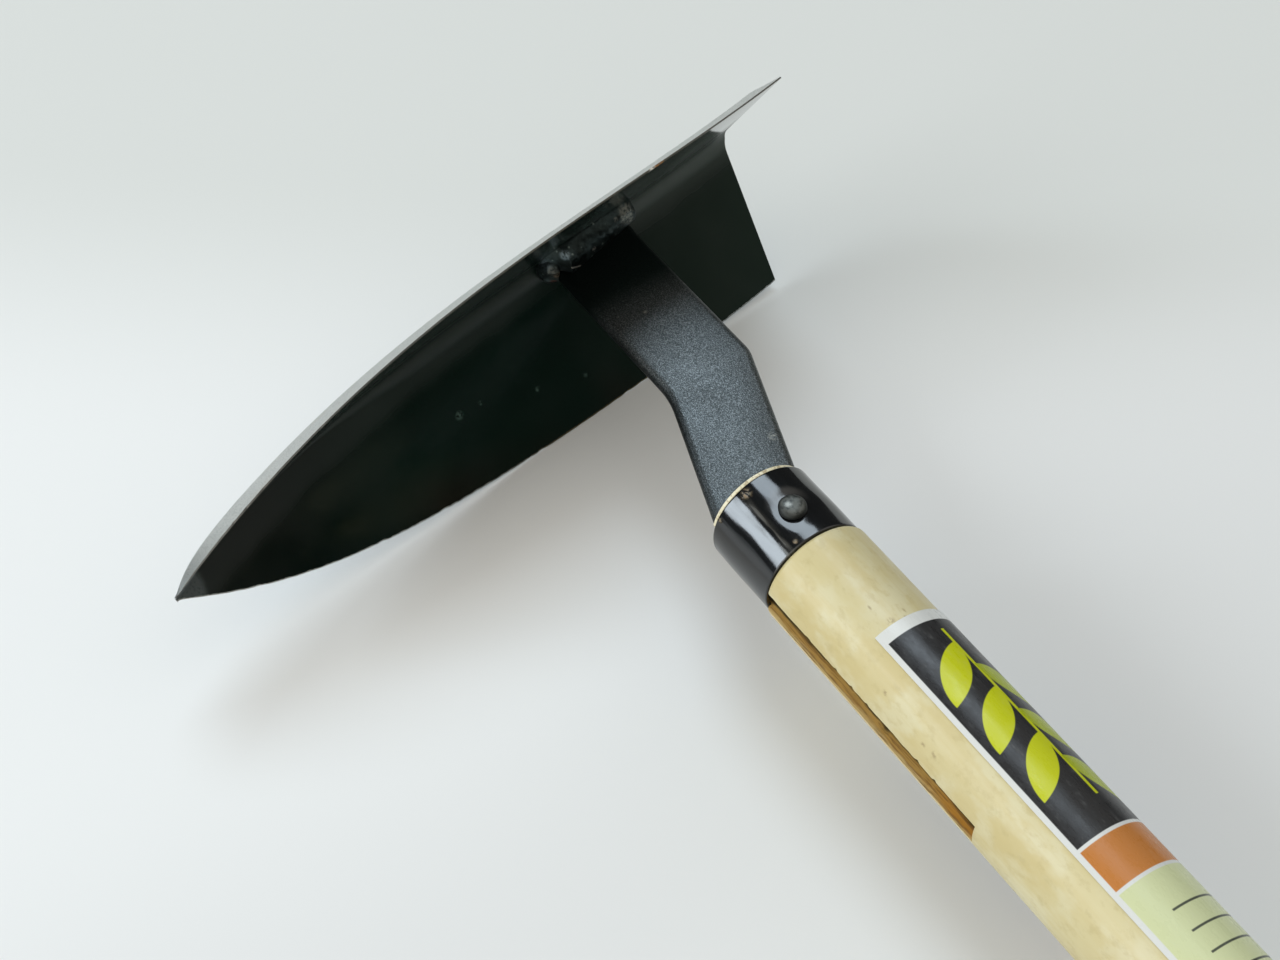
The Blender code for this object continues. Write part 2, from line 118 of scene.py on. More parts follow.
def loft(name, rings, ends, marks=None, sharp_above=50.0):
    """A closed piece skinned over rings of points. Its ends close as a "fan" on a middle point, as "pairs"
    where a ring's second half runs back along its first, or as a "loop" on one another."""
    count, around = rings.shape[:2]
    points = [lie @ Vector(point) for point in rings.reshape(-1, 3)]
    ids = np.arange(count * around).reshape(count, around)
    near, far = (ids, np.roll(ids, -1, 0)) if ends == "loop" else (ids[:-1], ids[1:])
    faces = np.stack([near, np.roll(near, -1, 1), np.roll(far, -1, 1), far], axis=2).reshape(-1, 4).tolist()
    for ring in (ids[0].tolist(), ids[-1].tolist()):
        if ends == "fan":
            points.append(sum((points[index] for index in ring), Vector()) / around)
            faces += [(ring[i - 1], ring[i], len(points) - 1) for i in range(around)]
        if ends == "pairs":
            mates = ring[::-1]
            faces += [(ring[i], ring[i + 1], mates[i + 1], mates[i]) for i in range(around // 2 - 1)]
    mesh = bpy.data.meshes.new(name)
    mesh.from_pydata(points, [], faces)
    for mark, values in (marks or {}).items():
        spread = np.zeros(len(points), np.float32)
        spread[: count * around] = values.ravel()
        mesh.attributes.new(mark, "FLOAT", "POINT").data.foreach_set("value", spread)
    return whole(name, mesh, sharp_above)


def whole(name, mesh, sharp_above):
    """Turns a mesh's faces outwards, shades it and makes it an object."""
    bm = bmesh.new()
    bm.from_mesh(mesh)
    bmesh.ops.recalc_face_normals(bm, faces=bm.faces)
    bm.to_mesh(mesh)
    bm.free()
    shade(mesh, sharp_above)
    return placed(name, mesh)


def shade(mesh, sharp_above):
    """Shades a mesh smooth, but for the edges that turn by more than so many degrees."""
    mesh.shade_smooth()
    mesh.set_sharp_from_angle(angle=math.radians(sharp_above))


def placed(name, data):
    """Puts a mesh, a curve, a light or a camera into the scene as an object."""
    made = bpy.data.objects.new(name, data)
    bpy.context.scene.collection.objects.link(made)
    return made


def fit(piece, node, slot, *materials):
    """Gives a piece its materials and its place on the hoe."""
    for material in materials:
        piece.data.materials.append(material)
    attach(piece, "root")
    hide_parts(node)


def bow_shape(share):
    return share * (1 - share) * (1 + KEEL_BOW_SKEW * share)


def keel_at(share):
    """The sharp inner corner where the wings would meet, at shares of the way from back end to tip."""
    skew = KEEL_BOW_SKEW
    deepest = ((skew - 1) + math.sqrt((skew - 1) ** 2 + 3 * skew)) / (3 * skew)
    bow = bow_shape(share) / bow_shape(deepest) * KEEL_BOW
    back_end = np.array([-BLADE_REACH, BLADE_BACK_OVERHANG, 0.0])
    return back_end + each_along(share * BLADE_LENGTH, KEEL_ALONG) - each_along(bow, KEEL_INWARD)


def soft_least(first, second, reach):
    """The smaller of two sizes, eased where they cross."""
    blend = np.clip(0.5 + 0.5 * (second - first) / reach, 0, 1)
    return second * (1 - blend) + first * blend - reach * blend * (1 - blend)


def smooth_step(share):
    return share * share * (3 - 2 * share)


def wing_width_at(share):
    return np.hypot(WING_WIDTH * (1 - share**WING_FULLNESS), NOSE_WIDTH)


def swept(share, across, up):
    """A place on the blade: across is from the keel towards the handle, up is from the middle plane."""
    slope = BACK_EDGE_SWEEP / (WING_WIDTH * math.sin(WING_HALF_ANGLE)) * (1 - share) ** BACK_SWEEP_FADE
    place = keel_at(share) + each_along(across, KEEL_INWARD) + each_along(up, UPWARD)
    return place + each_along(slope * np.abs(up), KEEL_ALONG)


def on_wing(share, side, distance, depth=0.0):
    """A place on one wing: distance from the keel's corner, and depth below the inner face."""
    across = distance * math.cos(WING_HALF_ANGLE) - depth * math.sin(WING_HALF_ANGLE)
    up = side * (distance * math.sin(WING_HALF_ANGLE) + depth * math.cos(WING_HALF_ANGLE))
    return swept(share, across, up)


def nicks(share, side):
    """How far use has worn each place of a cutting edge back: small dents and a faint waver."""
    draw = np.random.default_rng(40 + side)
    worn = EDGE_WAVER * (1 + waver(share[:, None] * BLADE_LENGTH, EDGE_WAVER_SIZE, 60 + side))
    for _ in range(NICKS_PER_EDGE):
        centre, depth = draw.uniform(*NICKS_ALONG), NICK_DEPTH * draw.uniform(*NICK_DEPTHS)
        width = NICK_HALF_WIDTH * draw.uniform(*NICK_WIDTHS)
        worn += depth * np.exp(-(((share - centre) * BLADE_LENGTH / width) ** 2))
    return worn


def blade_columns(share, side):
    """One half of the blade's section at all stations, one column at a time from the cutting edge to the
    fold's middle: the inner places, the outer places and the walk from the edge."""
    width = wing_width_at(share)
    tight = np.clip((share - FOLD_TIGHTENS[0]) / (FOLD_TIGHTENS[1] - FOLD_TIGHTENS[0]), 0, 1)
    roundness = 1 - (1 - FOLD_LEFT_AT_TIP) * smooth_step(tight)
    fold = FOLD_RADIUS / math.tan(WING_HALF_ANGLE) * roundness
    fold = soft_least(fold, width * FOLD_SHARE_AT_NOSE, FOLD_EASING * roundness)
    grind = soft_least(GRIND_WIDTH, width * GRIND_SHARE_AT_NOSE, GRIND_EASING)
    fullness = np.tanh(width / NOSE_THINNING_WIDTH)
    edge = EDGE_THICKNESS * fullness
    heel = edge + (PLATE_THICKNESS - edge) * fullness
    worn = np.minimum(nicks(share, side), width * WORN_SHARE_AT_NOSE)
    band = np.minimum(EDGE_BAND, width * WORN_SHARE_AT_NOSE)
    ends = (worn, band, grind, width - fold)
    columns = []
    for start, end, steps in zip(ends, ends[1:], (EDGE_COLUMNS, HALF_WING_COLUMNS, HALF_WING_COLUMNS)):
        for step in range(steps):
            walk = start + (end - start) * step / steps
            depth = edge + (heel - edge) * np.minimum(1.0, walk / grind)
            inner, outer = on_wing(share, side, width - walk), on_wing(share, side, width - walk, depth)
            columns.append((inner, outer, walk - worn))
    radius = fold * math.tan(WING_HALF_ANGLE)
    centre = radius / math.sin(WING_HALF_ANGLE)
    opening = math.pi / 2 - WING_HALF_ANGLE
    for step in range(FOLD_COLUMNS // 2 + 1):
        angle = opening * (1 - 2 * step / FOLD_COLUMNS)
        inner, outer = (
            swept(share, centre - reach * math.cos(angle), side * reach * math.sin(angle))
            for reach in (radius, radius + heel)
        )
        columns.append((inner, outer, width - fold + fold * step / FOLD_COLUMNS))
    return columns


share = 1 - (1 - np.linspace(0, 1, BLADE_STATIONS + 1)) ** STATIONS_CROWD_TO_TIP
upper_half, lower_half = blade_columns(share, 1), blade_columns(share, -1)
inner_places, outer_places, walks = map(list, zip(*upper_half, *lower_half[-2::-1]))
blade_rings = np.stack(inner_places + outer_places[::-1], axis=1)
blade_marks = {
    "edge_walk": np.stack([-walk for walk in walks] + walks[::-1], axis=1),
    "keel_share": np.repeat(share[:, None], blade_rings.shape[1], axis=1),
}
blade = loft("folded_blade", blade_rings, "pairs", blade_marks, BLADE_SHARP_ABOVE)


def finish(looks_at, in_hoe_frame=True):
    """A material named for the function that gives its looks. That is given the place of each surface
    point, in the hoe's own frame or in the world's."""
    material = bpy.data.materials.new(looks_at.__name__)
    material.use_nodes = True
    shader = material.node_tree.nodes["Principled BSDF"]
    place = put(shader, "ShaderNodeTexCoord").outputs["Object"]
    if in_hoe_frame:
        inputs = {"Vector": place, "Location": lie.translation, "Rotation": lie.to_euler()}
        place = put(shader, "ShaderNodeMapping", inputs, vector_type="TEXTURE").outputs["Vector"]
    fill(shader, looks_at(place))
    return material


def put(beside, kind, inputs=None, **settings):
    """Adds a node to the tree that a given node or output is in."""
    made = beside.id_data.nodes.new(kind)
    for name, value in settings.items():
        setattr(made, name, value)
    return fill(made, inputs or {})


def fill(node, inputs):
    """Gives a node its inputs. Each is a number, a colour or another node's output."""
    for socket, value in inputs.items():
        if isinstance(value, bpy.types.NodeSocket):
            node.id_data.links.new(value, node.inputs[socket])
        else:
            node.inputs[socket].default_value = value
    return node


def vectors(operation, first, second):
    """Reckons with two vectors. A distance and a product come out as numbers."""
    result = put(first, "ShaderNodeVectorMath", {0: first, 1: second}, operation=operation).outputs
    return result["Value" if operation in ("DISTANCE", "DOT_PRODUCT") else "Vector"]


def scaled(vector, scale):
    return put(scale, "ShaderNodeVectorMath", {0: vector, "Scale": scale}, operation="SCALE").outputs[0]


def split(place):
    """The x, y and z of a place."""
    return list(put(place, "ShaderNodeSeparateXYZ", {0: place}).outputs)


def counted_in(place, sizes):
    """A place counted in lengths of one size in metres, or of one size along each of x, y and z."""
    return vectors("MULTIPLY", place, (1 / np.broadcast_to(sizes, 3)).tolist())


def mottle(place, sizes, detail=2.0, roughness=0.5):
    """Smooth noise from 0 to 1, mostly from 0.3 to 0.7, with features of the given sizes."""
    inputs = {"Vector": counted_in(place, sizes), "Scale": 1.0, "Detail": detail, "Roughness": roughness}
    return put(place, "ShaderNodeTexNoise", inputs).outputs["Fac"]


def cells(place, sizes):
    """Distance to the nearest of scattered points, in cells of the given sizes."""
    inputs = {"Vector": counted_in(place, sizes), "Scale": 1.0}
    return put(place, "ShaderNodeTexVoronoi", inputs).outputs["Distance"]


def fade(value, start, end, first=0.0, last=1.0):
    """Goes smoothly from first to last as the value goes from start to end."""
    inputs = {"Value": value, "From Min": start, "From Max": end, "To Min": first, "To Max": last}
    return put(value, "ShaderNodeMapRange", inputs, interpolation_type="SMOOTHSTEP").outputs["Result"]


def vary(noise, first, last):
    """Spreads a mottle from first to last."""
    return fade(noise, 0.3, 0.7, first, last)


def reckon(operation, *values):
    beside = next(value for value in values if isinstance(value, bpy.types.NodeSocket))
    return put(beside, "ShaderNodeMath", dict(enumerate(values)), operation=operation).outputs["Value"]


def times(product, *others):
    for other in others:
        product = reckon("MULTIPLY", product, other)
    return product


def coat(under, *layers):
    """Lays colours one over another, each as far as its mask says."""
    for mask, colour in layers:
        inputs = {0: mask}
        for socket, tint in ((6, under), (7, colour)):
            inputs[socket] = tint if isinstance(tint, bpy.types.NodeSocket) else (*tint, 1.0)
        under = put(mask, "ShaderNodeMix", inputs, data_type="RGBA").outputs[2]
    return under


def bump(height, distance, strength, under=None):
    inputs = {"Height": height, "Distance": distance, "Strength": strength}
    if under is not None:
        inputs["Normal"] = under
    return put(height, "ShaderNodeBump", inputs).outputs["Normal"]


def mark(beside, name):
    return put(beside, "ShaderNodeAttribute", attribute_name=name).outputs["Fac"]


def near(place, centre, radius, softness):
    """1 within a radius of a point and 0 beyond it. Its rim is soft by a share of the radius."""
    soft = radius * softness
    return fade(vectors("DISTANCE", place, centre), radius + soft, radius - soft)


def spot(place, centre, radius, ragged, rim):
    """A spot that a mottle breaks up. Its rim gives its softness and how the mottle fades."""
    softness, *ends = rim
    return times(near(place, centre, radius, softness), fade(ragged, *ends))


LACQUER_BLACK = (0.0014, 0.0094, 0.0058)
LACQUER_GREEN = (0.0028, 0.0124, 0.0082)
LACQUER_BROWN = (0.0085, 0.0082, 0.0052)
BACK_PAINTED_SHEEN = (0.0140, 0.0232, 0.0180)
FOLD_PAINTED_HIGHLIGHT = (0.030, 0.043, 0.034)
TIP_PAINTED_SHADE = (0.0002, 0.0040, 0.0024)
TIP_WORN = (0.095, 0.110, 0.112)
SMEAR = (0.050, 0.085, 0.070)
GROUND_STEEL = (0.62, 0.63, 0.61)
GROUND_STEEL_DULL = (0.44, 0.46, 0.45)
GROUND_STEEL_WARM = (0.48, 0.44, 0.38)
END_FACE_PAINTED_LIGHT = (0.86, 0.87, 0.93)
EDGE_RIM_BROWN = (0.20, 0.165, 0.085)
EDGE_FACE_DARK = (0.055, 0.055, 0.050)
FRESH_RUST = (0.42, 0.17, 0.03)
BARE_CHIP = (0.75, 0.74, 0.68)
BROWNED_WIDTH = 0.014
BROWNED_ALONG = (0.80, 0.62)
BACK_SHEEN_ALONG = (0.40, 0.10)
TIP_SHADE_ALONG = (0.62, 0.88)
FOLD_HIGHLIGHT_ALONG = (0.32, 0.20)
FOLD_HIGHLIGHT_UP = (0.0060, 0.0020)
END_FACE_ALONG = (0.0012, 0.0004)
RIM_BROWN_STARTS = (0.12, 0.24)
RIM_BROWN_ENDS = (0.62, 0.42)
LACQUER_GLOSS = (0.12, 0.21)
GROUND_GLOSS = (0.26, 0.42)
FOLD_SOFTENS = (0.0090, 0.0040)
FOLD_SATIN = 0.28
CORNER_POLISHED_UP = (0.010, 0.018)
CORNER_POLISHED_ALONG = (0.22, 0.05)
CORNER_POLISH = 0.65
LACQUER_SPECULAR = 0.40
INNER_RIM = 0.00030
EDGE_FACE = 0.00004
TIP_WEAR = 0.0085
GRIND_LINE_WAVER = 0.0009
GRIND_LINE_SOFT = 0.0003
CLOUD_SIZE = 0.026
RAG_SIZE = 0.0007
GRIND_LINE_SIZE = 0.005
GRIND_STREAKS = (0.0009, 0.00022, 0.0045)
STEEL_TINT_SIZE = 0.012
GLOSS_SIZE = 0.014
SAG_SIZE, SAG_DEPTH = 0.016, 0.00020
PEEL_SIZE, PEEL_DEPTH = 0.0045, 0.00003
SCORE_DEPTH = 0.00006
SMEARS = (
    (0.547, 0.0200, 0.0010),
    (0.430, 0.0272, 0.0006),
    (0.357, 0.0320, 0.0005),
    (0.512, 0.0208, 0.0005),
)
SMEAR_RIM = (0.8, 0.36, 0.56)
TIP_RIM = (0.14, 0.30, 0.50, 0.55, 1.0)
RUST_AND_CHIP = ((0.237, 0.0003, 0.0014, (0.5, 0.42, 0.55)), (0.249, 0.0006, 0.0010, (0.4, 0.40, 0.50)))


def black_lacquered_steel(place):
    walk, along = mark(place, "edge_walk"), mark(place, "keel_share")
    up = split(place)[2]
    from_fold = reckon("ABSOLUTE", up)
    cloud = mottle(place, CLOUD_SIZE, 1.0)
    ragged = mottle(place, RAG_SIZE, 3.0)
    browned = times(fade(walk, -BROWNED_WIDTH, 0.0), fade(cloud, 0.35, 0.75), fade(along, *BROWNED_ALONG))
    lacquer = coat(
        LACQUER_BLACK,
        (fade(cloud, 0.25, 0.75), LACQUER_GREEN),
        (browned, LACQUER_BROWN),
        # Painted reflection: the lacquer is lighter towards the back end, for the sheen at the grazing back
        # corner.
        (fade(along, *BACK_SHEEN_ALONG), BACK_PAINTED_SHEEN),
        # Painted shade: the lacquer is darker towards the tip, which dims the wing there.
        (fade(along, *TIP_SHADE_ALONG), TIP_PAINTED_SHADE),
        # Painted highlight: a lighter band along the fold, towards the back end.
        (times(fade(from_fold, *FOLD_HIGHLIGHT_UP), fade(along, *FOLD_HIGHLIGHT_ALONG)), FOLD_PAINTED_HIGHLIGHT),
    )
    for share, distance, size in SMEARS:
        smear = spot(place, on_wing(share, -1, distance), size, ragged, SMEAR_RIM)
        lacquer = coat(lacquer, (smear, SMEAR))

    line = vary(mottle(place, GRIND_LINE_SIZE, 3.0, 0.6), -GRIND_LINE_WAVER, GRIND_LINE_WAVER)
    ground = fade(reckon("ADD", walk, line), GRIND_WIDTH, GRIND_WIDTH - GRIND_LINE_SOFT)
    bare = times(ground, reckon("GREATER_THAN", walk, vary(ragged, -INNER_RIM * 0.6, -INNER_RIM * 1.3)))
    streaks = mottle(place, GRIND_STREAKS, 4.0, 0.65)
    on_rim = times(fade(along, *RIM_BROWN_ENDS), fade(along, *RIM_BROWN_STARTS))
    on_rim = times(on_rim, fade(walk, EDGE_FACE, -EDGE_FACE))
    on_edge_face = reckon("LESS_THAN", reckon("ABSOLUTE", walk), EDGE_FACE)
    steel = coat(
        GROUND_STEEL,
        (fade(streaks, 0.3, 0.75), GROUND_STEEL_DULL),
        (fade(mottle(place, STEEL_TINT_SIZE), 0.55, 0.8, 0.0, 0.35), GROUND_STEEL_WARM),
        # Painted light: the back end's cut face is a bright bluish steel, as if the windows light it.
        (fade(along, *END_FACE_ALONG), END_FACE_PAINTED_LIGHT),
        (on_rim, EDGE_RIM_BROWN),
        (times(on_edge_face, 0.85), EDGE_FACE_DARK),
    )

    tip = spot(place, keel_at(1.0), TIP_WEAR, ragged, TIP_RIM)
    rust, chip = (
        spot(place, on_wing(share, 1, wing_width_at(share) - inset), size, ragged, rim)
        for share, inset, size, rim in RUST_AND_CHIP
    )
    metal = reckon("MAXIMUM", bare, times(tip, 0.6))
    gloss = fade(mottle(place, GLOSS_SIZE, 1.0), 0.3, 0.75, *LACQUER_GLOSS)
    gloss = reckon("ADD", gloss, fade(from_fold, *FOLD_SOFTENS, 0.0, FOLD_SATIN))
    polished = times(fade(up, *CORNER_POLISHED_UP), fade(along, *CORNER_POLISHED_ALONG))
    gloss = times(gloss, fade(polished, 0.0, 1.0, 1.0, 1.0 - CORNER_POLISH))
    glosses = {0: metal, 2: gloss, 3: vary(streaks, *GROUND_GLOSS)}
    sag = bump(mottle(place, SAG_SIZE, 1.0), SAG_DEPTH, 0.25)
    peel = bump(mottle(place, PEEL_SIZE, 1.0), PEEL_DEPTH, 0.08, sag)
    return {
        "Base Color": coat(lacquer, (tip, TIP_WORN), (bare, steel), (rust, FRESH_RUST), (chip, BARE_CHIP)),
        "Metallic": reckon("SUBTRACT", metal, rust),
        "Roughness": put(place, "ShaderNodeMix", glosses, data_type="FLOAT").outputs[0],
        "Specular IOR Level": LACQUER_SPECULAR,
        "Normal": bump(times(streaks, bare), SCORE_DEPTH, 0.6, peel),
    }


fit(blade, "blade", "lacquered_blade_steel", finish(black_lacquered_steel))

# The neck. A flat strap of forged steel, dog-legged in its own plane and finished satin black. Its square
# end stands in the blade's fold, and its narrow tang goes into the handle's kerf.
STRAP_THICKNESS = 0.0054
STRAP_WIDTH_AT_BLADE = 0.0251
STRAP_OFFSET_AT_BLADE = 0.0147
STRAP_HALF_WIDTH_AT_RIM = 0.01196
STRAP_BEND_FROM_RIM = 0.0405
INNER_BEND_SHIFT, INNER_BEND_RADIUS = 0.0, 0.026
OUTER_BEND_SHIFT, OUTER_BEND_RADIUS = 0.0015, 0.009
STRAP_EDGE_ROUNDING = 0.0021
MOST_EDGE_ROUNDING = 0.5
FACE_CROWN = 0.0006
FACE_CROWN_POWER = 2.5
TANG_WIDTH = 0.0125
TANG_TAPER = 0.0025
TANG_LENGTH = 0.068
TANG_SHOULDER_LENGTH = 0.0075
TANG_END_FLAT = 0.08
SEAT_GAP = 0.0003
STRAP_STATIONS = (60, 24, 70, 16, 50, 14)
EDGE_STEPS = 5
FACE_STEPS = 16
FORGED_WAVER = 0.00005
FORGED_WAVER_SIZE = 0.009


def fold_face_at(up):
    """How far the blade's inner face stands from the keel's corner, at a height off the middle plane."""
    if up < FOLD_RADIUS * math.cos(WING_HALF_ANGLE):
        return FOLD_RADIUS / math.sin(WING_HALF_ANGLE) - math.sqrt(FOLD_RADIUS**2 - up**2)
    return up / math.tan(WING_HALF_ANGLE)


def keel_share_at(y):
    """How far along the keel a y lies."""
    shares = np.linspace(0, 1, 2001)
    return np.interp(-y, -keel_at(shares)[:, 1], shares)


def unit(way):
    return way / np.linalg.norm(way)


def bend_points(before, corner, after, radius, steps):
    """The arc that replaces a corner between two straight runs."""
    before, corner, after = (np.array(point, float) for point in (before, corner, after))
    to_before, to_after = unit(before - corner), unit(after - corner)
    half = math.acos(np.clip(to_before @ to_after, -1, 1)) / 2
    middle = corner + unit(to_before + to_after) * radius / math.sin(half)
    start = corner + to_before * radius / math.tan(half) - middle
    turn_by = math.pi - 2 * half
    if to_before[0] * to_after[1] - to_before[1] * to_after[0] > 0:
        turn_by = -turn_by
    angles = np.linspace(0, turn_by, steps + 1)
    x = middle[0] + start[0] * np.cos(angles) - start[1] * np.sin(angles)
    y = middle[1] + start[0] * np.sin(angles) + start[1] * np.cos(angles)
    return np.stack([x, y], axis=1)


def run(start, end, steps):
    """Places on a straight run, its end left out."""
    start, end = np.array(start), np.array(end)
    return start + np.linspace(0, 1, steps, endpoint=False)[:, None] * (end - start)


def strap_side(side, shift, radius):
    """One side of the strap from its blade end to the tang's end. The tip's side is -1, the back's is 1."""
    y = STRAP_OFFSET_AT_BLADE + side * STRAP_WIDTH_AT_BLADE / 2
    seat = keel_at(keel_share_at(y)) + KEEL_INWARD * (fold_face_at(STRAP_THICKNESS / 2) + SEAT_GAP)
    start, corner = (seat[0], y), (-STRAP_BEND_FROM_RIM - shift, y)
    rim = (0.0, side * STRAP_HALF_WIDTH_AT_RIM)
    shoulder = (TANG_SHOULDER_LENGTH, side * TANG_WIDTH / 2)
    half_end = TANG_WIDTH / 2 - TANG_TAPER / 2
    to_blade, in_bend, to_rim, to_shoulder, to_end, in_end = STRAP_STATIONS
    bend = bend_points(start, corner, rim, radius, in_bend)
    angles = np.linspace(math.pi / 2, 0, in_end)
    end_x = TANG_LENGTH - half_end + half_end * np.cos(angles)
    end = np.stack([end_x, side * half_end * np.maximum(np.sin(angles), TANG_END_FLAT)], axis=1)
    along_blade, to_handle = run(start, bend[0], to_blade), run(bend[-1], rim, to_rim)
    into_tang, tang = run(rim, shoulder, to_shoulder), run(shoulder, end[0], to_end)
    return np.concatenate([along_blade, bend[:-1], to_handle, into_tang, tang, end])


def strap_section(half_width, half_thick, rounding):
    """A rounded rectangle with crowned faces, as (across, up)."""
    points = []
    half_face = half_width - rounding
    for quarter, (side, level) in enumerate(((1, 1), (-1, 1), (-1, -1), (1, -1))):
        for angle in math.pi / 2 * (quarter + np.arange(EDGE_STEPS + 1) / EDGE_STEPS):
            up = level * (half_thick - FACE_CROWN - rounding) + rounding * math.sin(angle)
            points.append((side * half_face + rounding * math.cos(angle), up))
        if quarter in (0, 2):
            for aside in 1 - 2 * np.arange(1, FACE_STEPS) / FACE_STEPS:
                drop = FACE_CROWN * abs(aside) ** FACE_CROWN_POWER
                points.append((side * half_face * aside, level * (half_thick - drop)))
    return np.array(points)


tip_side = strap_side(-1, INNER_BEND_SHIFT, INNER_BEND_RADIUS)
back_side = strap_side(1, OUTER_BEND_SHIFT, OUTER_BEND_RADIUS)
neck_rings = []
for middle, span in zip((tip_side + back_side) / 2, (back_side - tip_side) / 2):
    half_width = float(np.linalg.norm(span))
    rounding = min(STRAP_EDGE_ROUNDING, half_width * MOST_EDGE_ROUNDING)
    section = strap_section(half_width, STRAP_THICKNESS / 2, rounding)
    neck_rings.append(np.hstack([middle + section[:, :1] * span / half_width, section[:, 1:]]))
neck_rings = np.array(neck_rings)
neck_rings[:, :, 2] *= 1 - FORGED_WAVER / STRAP_THICKNESS * (1 + waver(neck_rings, FORGED_WAVER_SIZE, 7))
neck = loft("strap_neck", neck_rings, "fan")

NECK_STEEL = (0.108, 0.119, 0.122)
NECK_STEEL_DARK = (0.050, 0.056, 0.057)
NECK_FLECK = (0.215, 0.232, 0.236)
NECK_PAINTED_DARK_REFLECTION = (0.007, 0.014, 0.012)
NECK_RUB = (0.30, 0.30, 0.27)
NECK_GLOSS = (0.44, 0.38)
GRIT_SIZE, GRIT_DEPTH = 0.00031, 0.00012
DRIFT_SIZES = (0.013, 0.009, 0.009)
RUB_RAG_SIZE = 0.0006
DARK_REFLECTION_ALONG = (-0.0620, -0.0785)
DARK_REFLECTION_SATIN = 0.30
RUB_RIM = (0.7, 0.42, 0.6)
RUBS = (
    ((-0.0661, 0.0123, 0.0027), 0.0005),
    ((-0.0152, 0.0146, 0.0027), 0.0011),
    ((-0.0690, 0.0060, 0.0027), 0.0004),
)


def satin_black_steel(place):
    grit = mottle(place, GRIT_SIZE, 1.0, 0.6)
    drift = mottle(place, DRIFT_SIZES, 3.0)
    ragged = mottle(place, RUB_RAG_SIZE, 3.0)
    # Painted reflection: towards the weld the strap is darkened, where it mirrors the black blade, and made
    # more satin with flatter grit.
    scale = fade(split(place)[0], *DARK_REFLECTION_ALONG)
    flecked = (fade(grit, 0.36, 0.56), NECK_STEEL), (fade(grit, 0.56, 0.70, 0.0, 0.9), NECK_FLECK)
    rubbed = [(spot(place, centre, size, ragged, RUB_RIM), NECK_RUB) for centre, size in RUBS]
    raised = times(grit, fade(scale, 0.0, 1.0, 1.0, 0.3))
    return {
        "Base Color": coat(NECK_STEEL_DARK, *flecked, *rubbed, (times(scale, 0.95), NECK_PAINTED_DARK_REFLECTION)),
        "Metallic": 1.0,
        "Roughness": reckon("ADD", vary(drift, *NECK_GLOSS), times(scale, DARK_REFLECTION_SATIN)),
        "Normal": bump(raised, GRIT_DEPTH, 0.8),
    }


fit(neck, "neck", "satin_neck_steel", finish(satin_black_steel))

# The weld beads. Lumpy weld metal that joins the strap's square end to the inside of the fold: a bead
# above the strap, a bead below it, and a short return round its corner on the tip's side. Heat has tinted
# it, and a few bright patches and a sliver on it are painted glints.
BEAD_LEG_AT_TIP_SIDE = 0.009
BEAD_LEG_AT_BACK_SIDE = 0.0055
BEAD_LEG_ON_WING = 0.0078
BEAD_CROWN = 0.0014
UPPER_BEAD_START, UPPER_BEAD_ROUNDING = -0.0040, 0.0040
LOWER_BEAD_START, LOWER_BEAD_ROUNDING = 0.0014, 0.0020
BEAD_PAST_BACK_SIDE = 0.0009
BEAD_BACK_END = 0.06
BEAD_NARROW_START = 0.25
BEAD_LEAST_FULLNESS = 0.04
BEAD_LUMP_SIZE, BEAD_LUMP_HEIGHT = 0.0042, 0.00042
BEAD_PIT_SIZE, BEAD_PIT_HEIGHT = 0.0012, 0.00007
BEAD_LUMPS_TO_TOES = 0.6
BEAD_SINK = 0.00035
BEAD_STATIONS = 150
BEAD_CROWN_STEPS = 30
BEAD_SHARP_ABOVE = 70.0
RETURN_LEG_ON_STRAP = 0.0060
RETURN_LEG_ON_FOLD = 0.0038
RETURN_PAST_UPPER_FACE = 0.0028
RETURN_PAST_LOWER_FACE = 0.0004
RETURN_END = 0.3
RETURN_STATIONS = 60


def bead_fullness(share, first_end, last_end):
    """How full a bead is along its way: both of its ends are rounded off."""
    swell = max(0.0, min(1.0, share / first_end, (1 - share) / last_end))
    return math.sqrt(swell * (1 - BEAD_LEAST_FULLNESS) + BEAD_LEAST_FULLNESS)


def bead_ring(base, first_way, second_way, toe_first, toe_second, corner, fullness):
    """One ring of a bead: a crowned skin between its two toes, closed a little under the faces it joins."""
    chord = toe_second - toe_first
    outward = unit(np.array([chord[1], -chord[0]]))
    if outward @ (toe_first + toe_second - 2 * corner) < 0:
        outward = -outward
    t = np.linspace(0, 1, BEAD_CROWN_STEPS + 1)[:, None]
    skin = toe_first + chord * t + outward * (BEAD_CROWN * fullness * np.sin(math.pi * t))
    into_first = unit(corner - toe_second) * BEAD_SINK
    into_second = unit(corner - toe_first) * BEAD_SINK
    sunk_corner = corner + into_first + into_second
    sunk_second, sunk_first = toe_second + into_second, toe_first + into_first
    half_way = (sunk_second + sunk_corner) / 2, (sunk_first + sunk_corner) / 2
    section = np.vstack([skin, sunk_second, half_way[0], sunk_corner, half_way[1], sunk_first])
    ring = base + each_along(section[:, 0], first_way) + each_along(section[:, 1], second_way)
    lift = waver(ring, BEAD_LUMP_SIZE, 11) * BEAD_LUMP_HEIGHT
    lift += waver(ring, BEAD_PIT_SIZE, 12) * BEAD_PIT_HEIGHT
    lift[BEAD_CROWN_STEPS + 1 :] = 0
    lift[: BEAD_CROWN_STEPS + 1] *= np.sin(math.pi * t[:, 0]) ** BEAD_LUMPS_TO_TOES * fullness
    return ring + each_along(lift, outward[0] * first_way + outward[1] * second_way)


